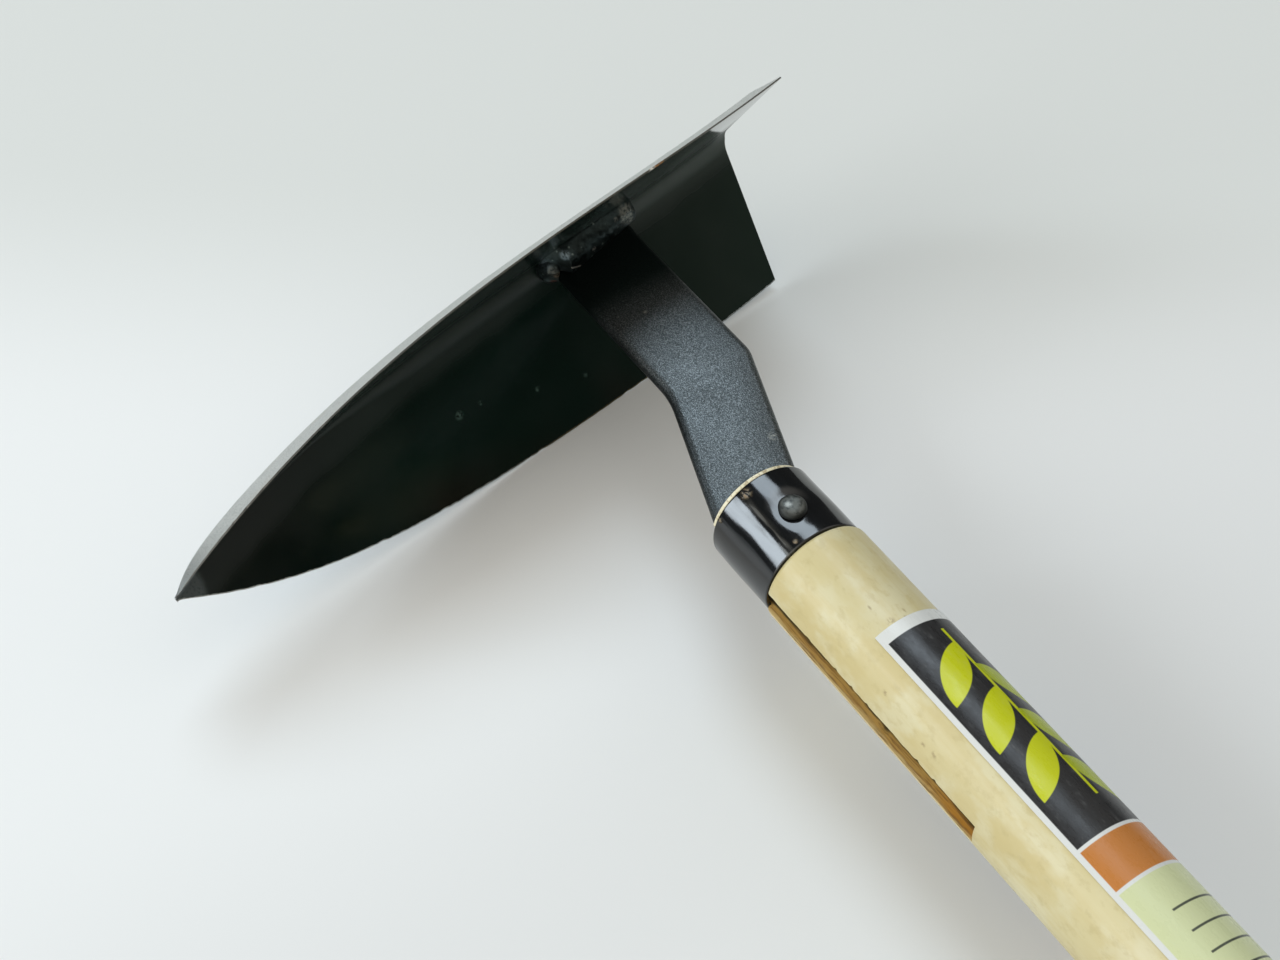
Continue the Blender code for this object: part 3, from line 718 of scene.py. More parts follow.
def weld_bead(name, side, start_from_tip_side, rounding):
    """The bead above the strap, side 1, or below it, side -1."""
    start = STRAP_OFFSET_AT_BLADE - STRAP_WIDTH_AT_BLADE / 2 + start_from_tip_side
    end = STRAP_OFFSET_AT_BLADE + STRAP_WIDTH_AT_BLADE / 2 + BEAD_PAST_BACK_SIDE
    strap_face = STRAP_THICKNESS / 2
    tip_end = rounding / (end - start)
    rings = []
    for share in np.linspace(0, 1, BEAD_STATIONS + 1):
        base = keel_at(keel_share_at(start + (end - start) * share))
        fullness = bead_fullness(share, tip_end, BEAD_BACK_END)
        leg = (BEAD_LEG_AT_TIP_SIDE * (1 - share) + BEAD_LEG_AT_BACK_SIDE * share) * fullness
        leg *= min(1.0, BEAD_NARROW_START + (1 - BEAD_NARROW_START) * share / tip_end)
        top = strap_face + BEAD_LEG_ON_WING * fullness * math.sin(WING_HALF_ANGLE)
        corner, toe_on_wing = (np.array([fold_face_at(up), up]) for up in (strap_face, top))
        toe_on_strap = corner + np.array([leg, 0.0])
        places = toe_on_strap, toe_on_wing, corner
        rings.append(bead_ring(base, KEEL_INWARD, side * UPWARD, *places, fullness))
    return loft(name, np.array(rings), "fan", sharp_above=BEAD_SHARP_ABOVE)


def weld_return():
    """The bead's way round the strap's corner, from the lower face to the upper one."""
    base = keel_at(keel_share_at(STRAP_OFFSET_AT_BLADE - STRAP_WIDTH_AT_BLADE / 2))
    along_strap = np.array([1.0, 0.0, 0.0])
    lowest = -STRAP_THICKNESS / 2 - RETURN_PAST_LOWER_FACE
    highest = STRAP_THICKNESS / 2 + RETURN_PAST_UPPER_FACE
    rings = []
    for share in np.linspace(0, 1, RETURN_STATIONS + 1):
        up = lowest + (highest - lowest) * share
        fullness = bead_fullness(share, RETURN_END, RETURN_END)
        corner = np.array([fold_face_at(abs(up)) / KEEL_INWARD[0], 0.0])
        toes = corner + np.diag([RETURN_LEG_ON_STRAP, RETURN_LEG_ON_FOLD]) * fullness
        rings.append(bead_ring(base + UPWARD * up, along_strap, KEEL_ALONG, *toes, corner, fullness))
    return loft("weld_return", np.array(rings), "fan", sharp_above=BEAD_SHARP_ABOVE)


BEAD_DARK = (0.012, 0.019, 0.018)
BEAD_SLATE = (0.040, 0.058, 0.058)
BEAD_SPECK = (0.20, 0.25, 0.235)
BEAD_PAINTED_SILVER_GLINT = (0.22, 0.28, 0.31)
BEAD_PAINTED_BLUE_GLINT = (0.115, 0.150, 0.170)
BEAD_MIST = (0.120, 0.125, 0.112)
BEAD_GREY = (0.19, 0.195, 0.17)
BEAD_TAN = (0.20, 0.155, 0.11)
BEAD_BROWN = (0.075, 0.030, 0.018)
BEAD_PAINTED_GLINT = (0.66, 0.64, 0.60)
BEAD_METALLIC = 0.8
BEAD_GLOSS = (0.28, 0.45)
HEAT_SIZE = 0.0035
FINE_SIZE, FINE_DEPTH = 0.0008, 0.00008
SPECK_SPACING = 0.0017
PATCH_RIM = (0.55, 0.34, 0.60)
# Heat tints, and painted glints where the beads catch the light: the blue, silver and bright patches.
TINTS_AND_PAINTED_GLINTS = (
    ((-0.0925, -0.0003, 0.0046), 0.0015, BEAD_PAINTED_BLUE_GLINT),
    ((-0.0914, 0.0010, 0.0029), 0.0014, BEAD_MIST),
    ((-0.0904, 0.0021, 0.0017), 0.0011, BEAD_TAN),
    ((-0.0908, 0.0007, -0.0012), 0.0012, BEAD_BROWN),
    ((-0.0901, 0.0043, 0.0080), 0.0013, BEAD_PAINTED_SILVER_GLINT),
    ((-0.0910, 0.0133, 0.0042), 0.0006, BEAD_PAINTED_GLINT),
    ((-0.0938, 0.0220, 0.0075), 0.0006, BEAD_GREY),
    ((-0.0945, 0.0257, 0.0071), 0.0022, BEAD_GREY),
    ((-0.0944, 0.0267, 0.0042), 0.0010, BEAD_GREY),
)
# A painted glint along a thin sliver of the bead.
GLINT_SLIVER_START, GLINT_SLIVER_END = Vector((-0.0881, 0.0043, 0.0047)), Vector((-0.0891, 0.0078, 0.0030))
GLINT_SLIVER_INNER, GLINT_SLIVER_OUTER = 0.00010, 0.00040


def from_line(place, start, end):
    """How far a place is from a straight line between two points."""
    run_to = end - start
    from_start = vectors("SUBTRACT", place, start)
    share = vectors("DOT_PRODUCT", from_start, run_to / run_to.length_squared)
    share = put(place, "ShaderNodeClamp", {"Value": share}).outputs[0]
    return vectors("DISTANCE", from_start, scaled(run_to, share))


def heat_tinted_weld_with_painted_glints(place):
    patch = mottle(place, HEAT_SIZE, 4.0, 0.6)
    fine = mottle(place, FINE_SIZE, 3.0, 0.6)
    specks = times(fade(cells(place, SPECK_SPACING), 0.26, 0.10), fade(patch, 0.46, 0.60))
    tints_and_glints = [(spot(place, centre, size, fine, PATCH_RIM), tint) for centre, size, tint in TINTS_AND_PAINTED_GLINTS]
    painted_glint_sliver = fade(from_line(place, GLINT_SLIVER_START, GLINT_SLIVER_END), GLINT_SLIVER_OUTER, GLINT_SLIVER_INNER)
    plain = coat(BEAD_DARK, (fade(patch, 0.38, 0.62), BEAD_SLATE), (specks, BEAD_SPECK))
    return {
        "Base Color": coat(plain, *tints_and_glints, (painted_glint_sliver, BEAD_PAINTED_GLINT)),
        "Metallic": BEAD_METALLIC,
        "Roughness": vary(patch, *BEAD_GLOSS),
        "Normal": bump(fine, FINE_DEPTH, 0.6),
    }


bead_metal = finish(heat_tinted_weld_with_painted_glints)
upper_weld = weld_bead("upper_weld", 1, UPPER_BEAD_START, UPPER_BEAD_ROUNDING)
fit(upper_weld, "weld_bead_upper", "weld_steel", bead_metal)
lower_weld = weld_bead("lower_weld", -1, LOWER_BEAD_START, LOWER_BEAD_ROUNDING)
fit(lower_weld, "weld_bead_lower", "weld_steel", bead_metal)
corner_weld = weld_return()
corner_weld.data.materials.append(bead_metal)
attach(corner_weld, "root")

# The handle. A long round pole of pale hardwood under clear lacquer. A kerf is sawn into it from the side
# of the blade's tip, the tang is set in the kerf, and the sawn walls stay raw and brown. Deeper in the kerf
# the wall is painted near black, as shade.
HANDLE_RADIUS = 0.014
FERRULE_RADIUS = 0.01355
FERRULE_LENGTH = 0.0207
FERRULE_WALL = 0.0009
HANDLE_PAST_FERRULE = 0.0013
HANDLE_END_RADIUS = 0.01285
HANDLE_END_CHAMFER = 0.0002
HANDLE_END_SWELL = 0.0010
SHOULDER_ROUNDING = 0.0012
SHOULDER_CORNER = 0.00005
BUTT_ROUNDING = 0.005
KERF_PAST_TANG = 0.0245
KERF_FLOOR_AT_ITS_END = 0.0065
KERF_OVERSHOOT = 0.0035
KERF_ALONG_GRAIN = 0.35
KERF_WALL_WAVER = 0.00005
KERF_WAVER_SIZES = (0.0011, 0.0070)
KERF_SPLINTER = 0.0004
KERF_SPLINTER_SIZE = 0.0030
KERF_SPLINTERS_ABOVE = 0.95
KERF_NOTCHES = (0.0462, 0.0517, 0.0570, 0.0739, 0.0795)
KERF_NOTCH_DEPTH = 0.00035
KERF_NOTCH_WIDTH = 0.0005
KERF_GRID = (420, 28, 10)
HANDLE_SIDES = 144
HANDLE_STEP = 0.004
HANDLE_WAVER = 0.00006
HANDLE_WAVER_SIZE = 0.03
WOOD_SHARP_ABOVE = 35.0

handle_start = -HANDLE_PAST_FERRULE
handle_butt = (butt_centre - lie.translation).dot(along_handle)
seat_radius = FERRULE_RADIUS - FERRULE_WALL - SEAT_GAP
shoulder = FERRULE_LENGTH + SEAT_GAP


def handle_profile():
    """Places along the handle and the radius at each."""
    profile = [
        (handle_start, HANDLE_END_RADIUS - HANDLE_END_CHAMFER),
        (handle_start + HANDLE_END_CHAMFER, HANDLE_END_RADIUS),
        (handle_start + HANDLE_END_SWELL, HANDLE_END_RADIUS),
        (0.0, seat_radius),
        (shoulder - SHOULDER_CORNER, seat_radius),
    ]
    for angle in np.linspace(0, math.pi / 2, 8):
        x = shoulder + SHOULDER_ROUNDING * (1 - math.cos(angle))
        profile.append((x, HANDLE_RADIUS - SHOULDER_ROUNDING * (1 - math.sin(angle))))
    straight_start, straight_end = shoulder + SHOULDER_ROUNDING, handle_butt - BUTT_ROUNDING
    steps = round((straight_end - straight_start) / HANDLE_STEP)
    profile += [(x, HANDLE_RADIUS) for x in np.linspace(straight_start, straight_end, steps + 1)[1:-1]]
    for angle in np.linspace(0, math.pi / 2, 12):
        x = straight_end + BUTT_ROUNDING * math.sin(angle)
        profile.append((x, HANDLE_RADIUS - BUTT_ROUNDING * (1 - math.cos(angle))))
    return profile


def turning_tree():
    """A node tree that turns a centre line, with a radius at each point, into a slightly wavy rod."""
    tree = bpy.data.node_groups.new("turned_rod", "GeometryNodeTree")
    sockets = (
        ("Geometry", "INPUT", "Geometry"),
        ("Sides", "INPUT", "Int"),
        ("Waver", "INPUT", "Float"),
        ("Waver size", "INPUT", "Float"),
        ("Material", "INPUT", "Material"),
        ("Geometry", "OUTPUT", "Geometry"),
    )
    for name, way, kind in sockets:
        tree.interface.new_socket(name, in_out=way, socket_type="NodeSocket" + kind)
    line = tree.nodes.new("NodeGroupInput")
    given = line.outputs
    circle = put(line, "GeometryNodeCurvePrimitiveCircle", {"Resolution": given["Sides"], "Radius": 1.0})
    inputs = {"Curve": given["Geometry"], "Profile Curve": circle.outputs["Curve"], "Fill Caps": True}
    rod = put(line, "GeometryNodeCurveToMesh", inputs)
    if "Scale" in rod.inputs:
        fill(rod, {"Scale": put(line, "GeometryNodeInputRadius").outputs[0]})
    place = put(line, "GeometryNodeInputPosition").outputs[0]
    scale = reckon("DIVIDE", 1.0, given["Waver size"])
    noise = put(line, "ShaderNodeTexNoise", {"Vector": place, "Scale": scale, "Detail": 1.0}).outputs["Fac"]
    lift = times(reckon("SUBTRACT", noise, 1.0), given["Waver"])
    normal = put(line, "GeometryNodeInputNormal").outputs[0]
    inputs = {"Geometry": rod.outputs[0], "Offset": scaled(normal, lift)}
    moved = put(line, "GeometryNodeSetPosition", inputs).outputs[0]
    solid = put(line, "GeometryNodeRealizeInstances", {"Geometry": moved}).outputs[0]
    painted = put(line, "GeometryNodeSetMaterial", {"Geometry": solid, "Material": given["Material"]})
    put(line, "NodeGroupOutput", {"Geometry": painted.outputs[0]})
    return tree


def kerf_saw(material):
    """The solid that the kerf is sawn out with: a wedge with ragged walls."""
    start, end = handle_start - KERF_OVERSHOOT, TANG_LENGTH + KERF_PAST_TANG
    outside = HANDLE_RADIUS + KERF_OVERSHOOT
    half = STRAP_THICKNESS / 2 + SEAT_GAP
    long_steps, deep_steps, thick_steps = KERF_GRID
    z = half * np.linspace(1, -1, thick_steps + 1)
    rings = []
    for share in np.linspace(0, 1, long_steps + 1):
        floor = outside + (KERF_FLOOR_AT_ITS_END - outside) * share
        y = -outside + (floor + outside) * np.linspace(0, 1, deep_steps + 1)
        outline = [(value, half) for value in y] + [(floor, value) for value in z[1:-1]]
        outline += [(value, -half) for value in y[::-1]] + [(-outside, value) for value in z[-2:0:-1]]
        rings.append([(start + (end - start) * share, *point) for point in outline])
    rings = np.array(rings)
    side = np.sign(rings[:, :, 2]) * (np.abs(np.abs(rings[:, :, 2]) - half) < 1e-9)
    stretched = rings * np.array([1.0, KERF_ALONG_GRAIN, 1.0])
    fine, coarse = (waver(stretched, size, seed) for size, seed in zip(KERF_WAVER_SIZES, (21, 22)))
    rough = (fine + coarse) * KERF_WALL_WAVER
    splinters = waver(stretched, KERF_SPLINTER_SIZE, 23) - KERF_SPLINTERS_ABOVE
    splinters = np.maximum(splinters, 0) * KERF_SPLINTER
    for x in KERF_NOTCHES:
        notch = np.exp(-(((rings[:, :, 0] - x) / KERF_NOTCH_WIDTH) ** 2))
        splinters += KERF_NOTCH_DEPTH * notch * (side > 0)
    rings[:, :, 2] += side * (rough + splinters)
    saw = loft("kerf_saw", rings, "fan", sharp_above=180.0)
    saw.data.materials.append(material)
    return saw


WOOD_PALE = (0.600, 0.525, 0.285)
WOOD_GOLD = (0.555, 0.460, 0.215)
WOOD_CREAM = (0.640, 0.590, 0.380)
WOOD_OLIVE = (0.46, 0.375, 0.165)
WOOD_FLECK = (0.24, 0.155, 0.065)
END_GRAIN = (0.76, 0.70, 0.50)
END_GRAIN_DIRT = (0.46, 0.37, 0.22)
WOOD_GLOSS = (0.42, 0.56)
LACQUER_COAT, LACQUER_COAT_GLOSS = 0.24, 0.30
FIGURE_SIZES = (0.034, 0.011, 0.011)
GRAIN_SIZES, GRAIN_DEPTH = (0.045, 0.0011, 0.0011), 0.00005
WOOD_CLOUD_SIZES, WOOD_CLOUD_DEPTH = (0.010, 0.006, 0.006), 0.00012
FLEECE_SIZES = (0.0042, 0.0024, 0.0024)
WOOD_RAG_SIZES = (0.0012, 0.0007, 0.0007)
FLECK_SPACINGS = (0.0110, 0.0044, 0.0044)
FLECK_RIM = (0.8, 0.40, 0.60, 0.0, 0.6)
HANDLE_FLECKS = (
    (0.0486, -5.9, 0.0008),
    (0.0496, 7.5, 0.0005),
    (0.0595, -52.8, 0.0006),
    (0.0733, -59.2, 0.0005),
    (0.0766, -57.7, 0.0006),
    (0.0221, 19.7, 0.0006),
)
END_FACE_X = (-0.0001, -0.0006)
KERF_STAIN = (0.66, 0.51, 0.25)
KERF_STAIN_Y = (-0.0085, -0.0110)
KERF_STAIN_Z = (-0.0020, -0.0036)
KERF_STAIN_FADES_Z = (-0.0105, -0.0030)
KERF_STRAW = (0.74, 0.56, 0.25)
KERF_ORANGE = (0.60, 0.37, 0.095)
KERF_BURNT_ORANGE = (0.60, 0.29, 0.040)
KERF_RED = (0.26, 0.115, 0.030)
KERF_PAINTED_SHADE = (0.110, 0.078, 0.024)
KERF_STRAW_Y = (-0.0135, -0.0125)
KERF_SHADE_Y = (-0.0117, -0.0110)
KERF_BURNT_X = (0.074, 0.086)
KERF_UNEVEN = 0.0004
KERF_ROUGHNESS = 0.85
FIBRE_SIZES, FIBRE_DEPTH = (0.010, 0.0006, 0.0006), 0.0002
SCORCH_SIZES = (0.012, 0.002, 0.002)


def around_handle(x, angle, radius):
    """Places on the handle, by the angle from the rivet's head towards the blade's back end."""
    return np.stack(np.broadcast_arrays(x, radius * np.sin(angle), radius * np.cos(angle)), axis=-1)


def lacquered_pale_wood(place):
    x, y, z = split(place)
    streak = mottle(place, GRAIN_SIZES, 3.0, 0.6)
    cloud = mottle(place, WOOD_CLOUD_SIZES, 3.0)
    ragged = mottle(place, WOOD_RAG_SIZES, 3.0)
    layers = [
        (fade(mottle(place, FIGURE_SIZES, 4.0, 0.55), 0.36, 0.66), WOOD_GOLD),
        (fade(cloud, 0.44, 0.64, 0.0, 0.65), WOOD_CREAM),
        (fade(mottle(place, FLEECE_SIZES, 4.0, 0.65), 0.50, 0.70, 0.0, 0.42), WOOD_OLIVE),
        (fade(streak, 0.50, 0.78, 0.0, 0.4), WOOD_GOLD),
    ]
    for fleck_x, degrees, size in HANDLE_FLECKS:
        centre = around_handle(fleck_x, math.radians(degrees), HANDLE_RADIUS)
        layers.append((spot(place, centre, size, ragged, FLECK_RIM), WOOD_FLECK))
    flecks = times(fade(cells(place, FLECK_SPACINGS), 0.090, 0.02), fade(cloud, 0.50, 0.60), 0.6)
    soaked = coat(END_GRAIN, (fade(ragged, 0.50, 0.66), END_GRAIN_DIRT))
    stained = times(fade(y, *KERF_STAIN_Y), fade(z, *KERF_STAIN_Z), fade(z, *KERF_STAIN_FADES_Z))
    stained = times(stained, fade(x, TANG_LENGTH + KERF_PAST_TANG, TANG_LENGTH), 0.9)
    layers += [(flecks, WOOD_FLECK), (fade(x, *END_FACE_X), soaked), (stained, KERF_STAIN)]
    return {
        "Base Color": coat(WOOD_PALE, *layers),
        "Roughness": vary(streak, *WOOD_GLOSS),
        "Coat Weight": LACQUER_COAT,
        "Coat Roughness": LACQUER_COAT_GLOSS,
        "Normal": bump(cloud, WOOD_CLOUD_DEPTH, 0.4, bump(streak, GRAIN_DEPTH, 0.35)),
    }


def raw_sawn_wood(place):
    x, y, _ = split(place)
    fibre = mottle(place, FIBRE_SIZES, 4.0, 0.65)
    uneven = reckon("ADD", y, vary(mottle(place, SCORCH_SIZES, 3.0, 0.6), -KERF_UNEVEN, KERF_UNEVEN))
    orange = coat(KERF_ORANGE, (fade(x, *KERF_BURNT_X), KERF_BURNT_ORANGE))
    layers = (
        (fade(uneven, *KERF_STRAW_Y), orange),
        (fade(fibre, 0.46, 0.64, 0.0, 0.75), KERF_RED),
        # Painted shade: the sawn wall turns near black deeper in the kerf.
        (fade(uneven, *KERF_SHADE_Y), KERF_PAINTED_SHADE),
    )
    return {
        "Base Color": coat(KERF_STRAW, *layers),
        "Roughness": KERF_ROUGHNESS,
        "Normal": bump(fibre, FIBRE_DEPTH, 0.9),
    }


def plain_mesh(piece):
    """The mesh that a piece's modifiers make, on its own."""
    bpy.context.view_layer.update()
    graph = bpy.context.evaluated_depsgraph_get()
    return bpy.data.meshes.new_from_object(piece.evaluated_get(graph))


wood, raw_wood = finish(lacquered_pale_wood), finish(raw_sawn_wood)
centre_line = bpy.data.curves.new("handle_line", "CURVE")
centre_line.dimensions = "3D"
spline = centre_line.splines.new("POLY")
profile = handle_profile()
spline.points.add(len(profile) - 1)
for point, (x, radius) in zip(spline.points, profile):
    point.co = (x, 0.0, 0.0, 1.0)
    point.radius = radius
rod = placed("handle_rod", centre_line)
turning = rod.modifiers.new("turned rod", "NODES")
turning.node_group = turning_tree()
settings = {"Sides": HANDLE_SIDES, "Waver": HANDLE_WAVER, "Waver size": HANDLE_WAVER_SIZE, "Material": wood}
for item in turning.node_group.interface.items_tree:
    if item.name in settings and item.in_out == "INPUT":
        turning[item.identifier] = settings[item.name]
turned_mesh = plain_mesh(rod)
turned_mesh.transform(lie)
bpy.data.objects.remove(rod)
handle = whole("wooden_handle", turned_mesh, WOOD_SHARP_ABOVE)
saw = kerf_saw(raw_wood)
cut = handle.modifiers.new("kerf", "BOOLEAN")
cut.object = saw
cut.operation = "DIFFERENCE"
cut.solver = "EXACT"
cut.material_mode = "TRANSFER"
handle.data = plain_mesh(handle)
handle.modifiers.clear()
bpy.data.objects.remove(saw)
shade(handle.data, WOOD_SHARP_ABOVE)
fit(handle, "handle", "handle_wood")

# The ferrule. A short piece of steel tube, enamelled gloss black, driven over the handle's end. Setting
# the rivet has pressed a dimple into it on both sides, and the enamel is chipped near its rims.
FERRULE_LIP = 0.00035
LIP_STEPS = 5
FERRULE_SIDES = 240
FERRULE_ROWS = 96
DIMPLE_DEPTH = 0.00030
DIMPLE_INNER = 0.0028
DIMPLE_OUTER = 0.0072
DIMPLE_ACROSS = 0.0006
SHEET_WAVER = 0.00005
SHEET_WAVER_SIZE = 0.006


def ferrule_rings():
    """The tube's wall as a closed loop of rings: along the outside, then back along the bore."""
    lip = np.linspace(0, math.pi / 2, LIP_STEPS + 1)
    lip_x, lip_drop = FERRULE_LIP * (1 - np.sin(lip)), FERRULE_LIP * (1 - np.cos(lip))
    straight = np.linspace(FERRULE_LIP, FERRULE_LENGTH - FERRULE_LIP, FERRULE_ROWS)[1:-1]
    x = np.concatenate([lip_x[::-1], straight, FERRULE_LENGTH - lip_x])[:, None]
    drop = np.concatenate([lip_drop[::-1], np.zeros(len(straight)), lip_drop])[:, None]
    angle = np.linspace(0, 2 * math.pi, FERRULE_SIDES, endpoint=False)
    places = around_handle(x, angle, FERRULE_RADIUS - drop)
    away = np.hypot(x - RIVET_FROM_RIM, places[:, :, 1] - DIMPLE_ACROSS)
    slope = np.clip((DIMPLE_OUTER - away) / (DIMPLE_OUTER - DIMPLE_INNER), 0, 1)
    pressed = DIMPLE_DEPTH * smooth_step(slope)
    outer = FERRULE_RADIUS - drop - pressed - SHEET_WAVER * (1 + waver(places, SHEET_WAVER_SIZE, 31))
    inner = outer - FERRULE_WALL + drop
    return np.concatenate([around_handle(x, angle, outer), around_handle(x, angle, inner)[::-1]])


ENAMEL_BLACK = (0.0045, 0.0052, 0.0060)
ENAMEL_SMEAR_AND_SHEEN = (0.075, 0.072, 0.060)
CHIP_TAN = (0.24, 0.17, 0.095)
CHIP_OLIVE = (0.115, 0.095, 0.060)
CHIPS = ((0.0019, -24.0, 0.0011), (0.0192, -20.5, 0.0005), (0.0009, -62.0, 0.0005))
CHIP_ROUGHNESS, CHIP_DEPTH = 0.5, 0.00005
CHIP_RAG_SIZES = (0.0011, 0.0007, 0.0007)
CHIP_TINT_SIZE = 0.0008
CHIP_SOFTNESS = 0.7
SMEAR_AND_SHEEN_ANGLE = math.radians(-31.5)
SMEAR_AND_SHEEN_HALF_ANGLE = math.radians(8.5)
SMEAR_SATIN = 0.30
SMEAR_STREAKS = (0.010, 0.0016, 0.0016)
ENAMEL_GLOSS = (0.10, 0.17)
ENAMEL_SPECULAR = 0.80
ENAMEL_PEEL, ENAMEL_PEEL_DEPTH = (0.0026, 0.0012, 0.0012), 0.00003


def gloss_black_enamel(place):
    chipped = None
    for x, degrees, size in CHIPS:
        chip = near(place, around_handle(x, math.radians(degrees), FERRULE_RADIUS), size, CHIP_SOFTNESS)
        chipped = chip if chipped is None else reckon("MAXIMUM", chipped, chip)
    chipped = times(chipped, fade(mottle(place, CHIP_RAG_SIZES, 4.0, 0.6), 0.40, 0.54))
    bare = coat(CHIP_TAN, (fade(mottle(place, CHIP_TINT_SIZE), 0.4, 0.6), CHIP_OLIVE))
    _, y, z = split(place)
    # A brownish smear round the tube beside the window's highlight. It is partly a real smear and partly a
    # painted highlight that carries on the highlight's soft edge.
    aside = reckon("ABSOLUTE", reckon("SUBTRACT", reckon("ARCTAN2", y, z), SMEAR_AND_SHEEN_ANGLE))
    streaks = mottle(place, SMEAR_STREAKS)
    smear = times(fade(aside, SMEAR_AND_SHEEN_HALF_ANGLE, 0.0), fade(streaks, 0.30, 0.70))
    gloss = reckon("ADD", fade(streaks, 0.35, 0.75, *ENAMEL_GLOSS), times(smear, SMEAR_SATIN))
    peel = bump(mottle(place, ENAMEL_PEEL), ENAMEL_PEEL_DEPTH, 0.25)
    return {
        "Base Color": coat(ENAMEL_BLACK, (smear, ENAMEL_SMEAR_AND_SHEEN), (chipped, bare)),
        "Roughness": reckon("MAXIMUM", gloss, times(chipped, CHIP_ROUGHNESS)),
        "Specular IOR Level": ENAMEL_SPECULAR,
        "Normal": bump(reckon("SUBTRACT", 1.0, chipped), CHIP_DEPTH, 0.6, peel),
    }


ferrule = loft("enamelled_ferrule", ferrule_rings(), "loop")
fit(ferrule, "ferrule", "ferrule_enamel", finish(gloss_black_enamel))

# The rivet. A soft steel pin through ferrule, wood and tang, hammered over into a low dome at both ends.
# The hammer has left the domes slightly out of round, dark in the dents and worn bright on the crown, and
# one crown carries a painted highlight spot.
RIVET_SHANK_RADIUS = 0.0025
RIVET_HEAD_RADIUS = 0.0034
RIVET_HEAD_HEIGHT = 0.0012
HEAD_RISE_POWER = 0.75
HEAD_SHRINK_POWER = 0.62
RIVET_SIDES = 96
HEAD_STEPS = 27
HAMMER_FACET, HAMMER_FACET_SIZE = 0.00011, 0.0024
OUT_OF_ROUND, OUT_OF_ROUND_SIZE = 0.03, 0.0042


def rivet_rings():
    """Rings up the pin, from the crown of one head to the crown of the other."""
    seat = FERRULE_RADIUS + SEAT_GAP - DIMPLE_DEPTH
    top = FERRULE_RADIUS + SEAT_GAP + RIVET_HEAD_HEIGHT
    rise = math.pi / 2 * np.arange(HEAD_STEPS) / HEAD_STEPS
    height = np.array([0.0, seat, *(seat + (top - seat) * np.sin(rise) ** HEAD_RISE_POWER)])
    radius = np.array([RIVET_SHANK_RADIUS] * 2 + [*(RIVET_HEAD_RADIUS * np.cos(rise) ** HEAD_SHRINK_POWER)])
    height = np.concatenate([-height[:0:-1], height])[:, None]
    radius = np.concatenate([radius[:0:-1], radius])[:, None]
    angle = np.linspace(0, 2 * math.pi, RIVET_SIDES, endpoint=False)
    x = RIVET_FROM_RIM + radius * np.cos(angle)
    rings = np.stack(np.broadcast_arrays(x, radius * np.sin(angle), height), axis=-1)
    on_head = np.abs(rings[:, :, 2]) >= seat
    facets = on_head * HAMMER_FACET * (1 + waver(rings, HAMMER_FACET_SIZE, 41))
    rings[:, :, 2] -= np.sign(rings[:, :, 2]) * facets
    uneven = 1 + waver(rings * np.array([1.0, 1.0, 0.0]), OUT_OF_ROUND_SIZE, 42)
    squash = (1 - on_head * OUT_OF_ROUND * uneven)[:, :, None]
    middle = np.array([RIVET_FROM_RIM, 0.0])
    rings[:, :, :2] = middle + (rings[:, :, :2] - middle) * squash
    return rings


RIVET_DARK = (0.026, 0.029, 0.027)
RIVET_WORN = (0.120, 0.125, 0.115)
RIVET_PAINTED_HIGHLIGHT = (0.34, 0.35, 0.33)
RIVET_METALLIC = 0.6
RIVET_GLOSS = (0.40, 0.58)
WORN_RISE = (0.0007, 0.0013)
SCUFF_SIZE, SCUFF_DEPTH = 0.0014, 0.00006
HIGHLIGHT_PLACE, HIGHLIGHT_RADIUS, HIGHLIGHT_RIM = (0.0113, -0.0009, 0.0148), 0.0007, (0.7, 0.30, 0.55)


def dark_rivet_steel(place):
    scuff = mottle(place, SCUFF_SIZE, 4.0, 0.65)
    crown = fade(reckon("ABSOLUTE", split(place)[2]), *(FERRULE_RADIUS + rise for rise in WORN_RISE))
    # A painted highlight: a small pale spot on the crown.
    polished = spot(place, HIGHLIGHT_PLACE, HIGHLIGHT_RADIUS, scuff, HIGHLIGHT_RIM)
    worn = times(crown, fade(scuff, 0.34, 0.60))
    return {
        "Base Color": coat(RIVET_DARK, (worn, RIVET_WORN), (polished, RIVET_PAINTED_HIGHLIGHT)),
        "Metallic": RIVET_METALLIC,
        "Roughness": vary(scuff, *RIVET_GLOSS),
        "Normal": bump(scuff, SCUFF_DEPTH, 0.6),
    }


rivet = loft("peened_rivet", rivet_rings(), "fan")
fit(rivet, "rivet", "rivet_steel", finish(dark_rivet_steel))

# The label. A strip of glossy printed paper glued part of the way round the handle and cut square, with a
# plain printed design: a black field with green leaves, an orange band and a pale field with ruled lines.
LABEL_FROM_RIM = 0.0495
LABEL_LENGTH = 0.172
LABEL_WIDTH = 0.056
LABEL_GLUED_RISE, LABEL_FACE_RISE = 0.00006, 0.00027
LABEL_START_ANGLE = math.radians(-26.5)
LABEL_ROWS = 120
LABEL_COLUMNS = 90
LABEL_TOP_BORDER = 0.003
LABEL_SIDE_BORDER = 0.0012
BLACK_FIELD_END = 0.0625
ORANGE_BAND_END = 0.0735
BAND_LINE_HALF = 0.0004
LEAF_LENGTH = 0.0175
LEAF_WIDTH = 0.0066
LEAF_LEAN = math.radians(38)
LEAF_SPACING = 0.0135
LEAF_PAIRS = 3
STEM_FROM_EDGE = 0.0135
STEM_START, FIRST_LEAF = 0.006, 0.010
STEM_HALF_WIDTH = 0.0004
RULE_START = 0.082
RULE_SPACING = 0.0052
RULES = 15
RULE_THICKNESS = 0.0005
RULE_INSET = 0.007


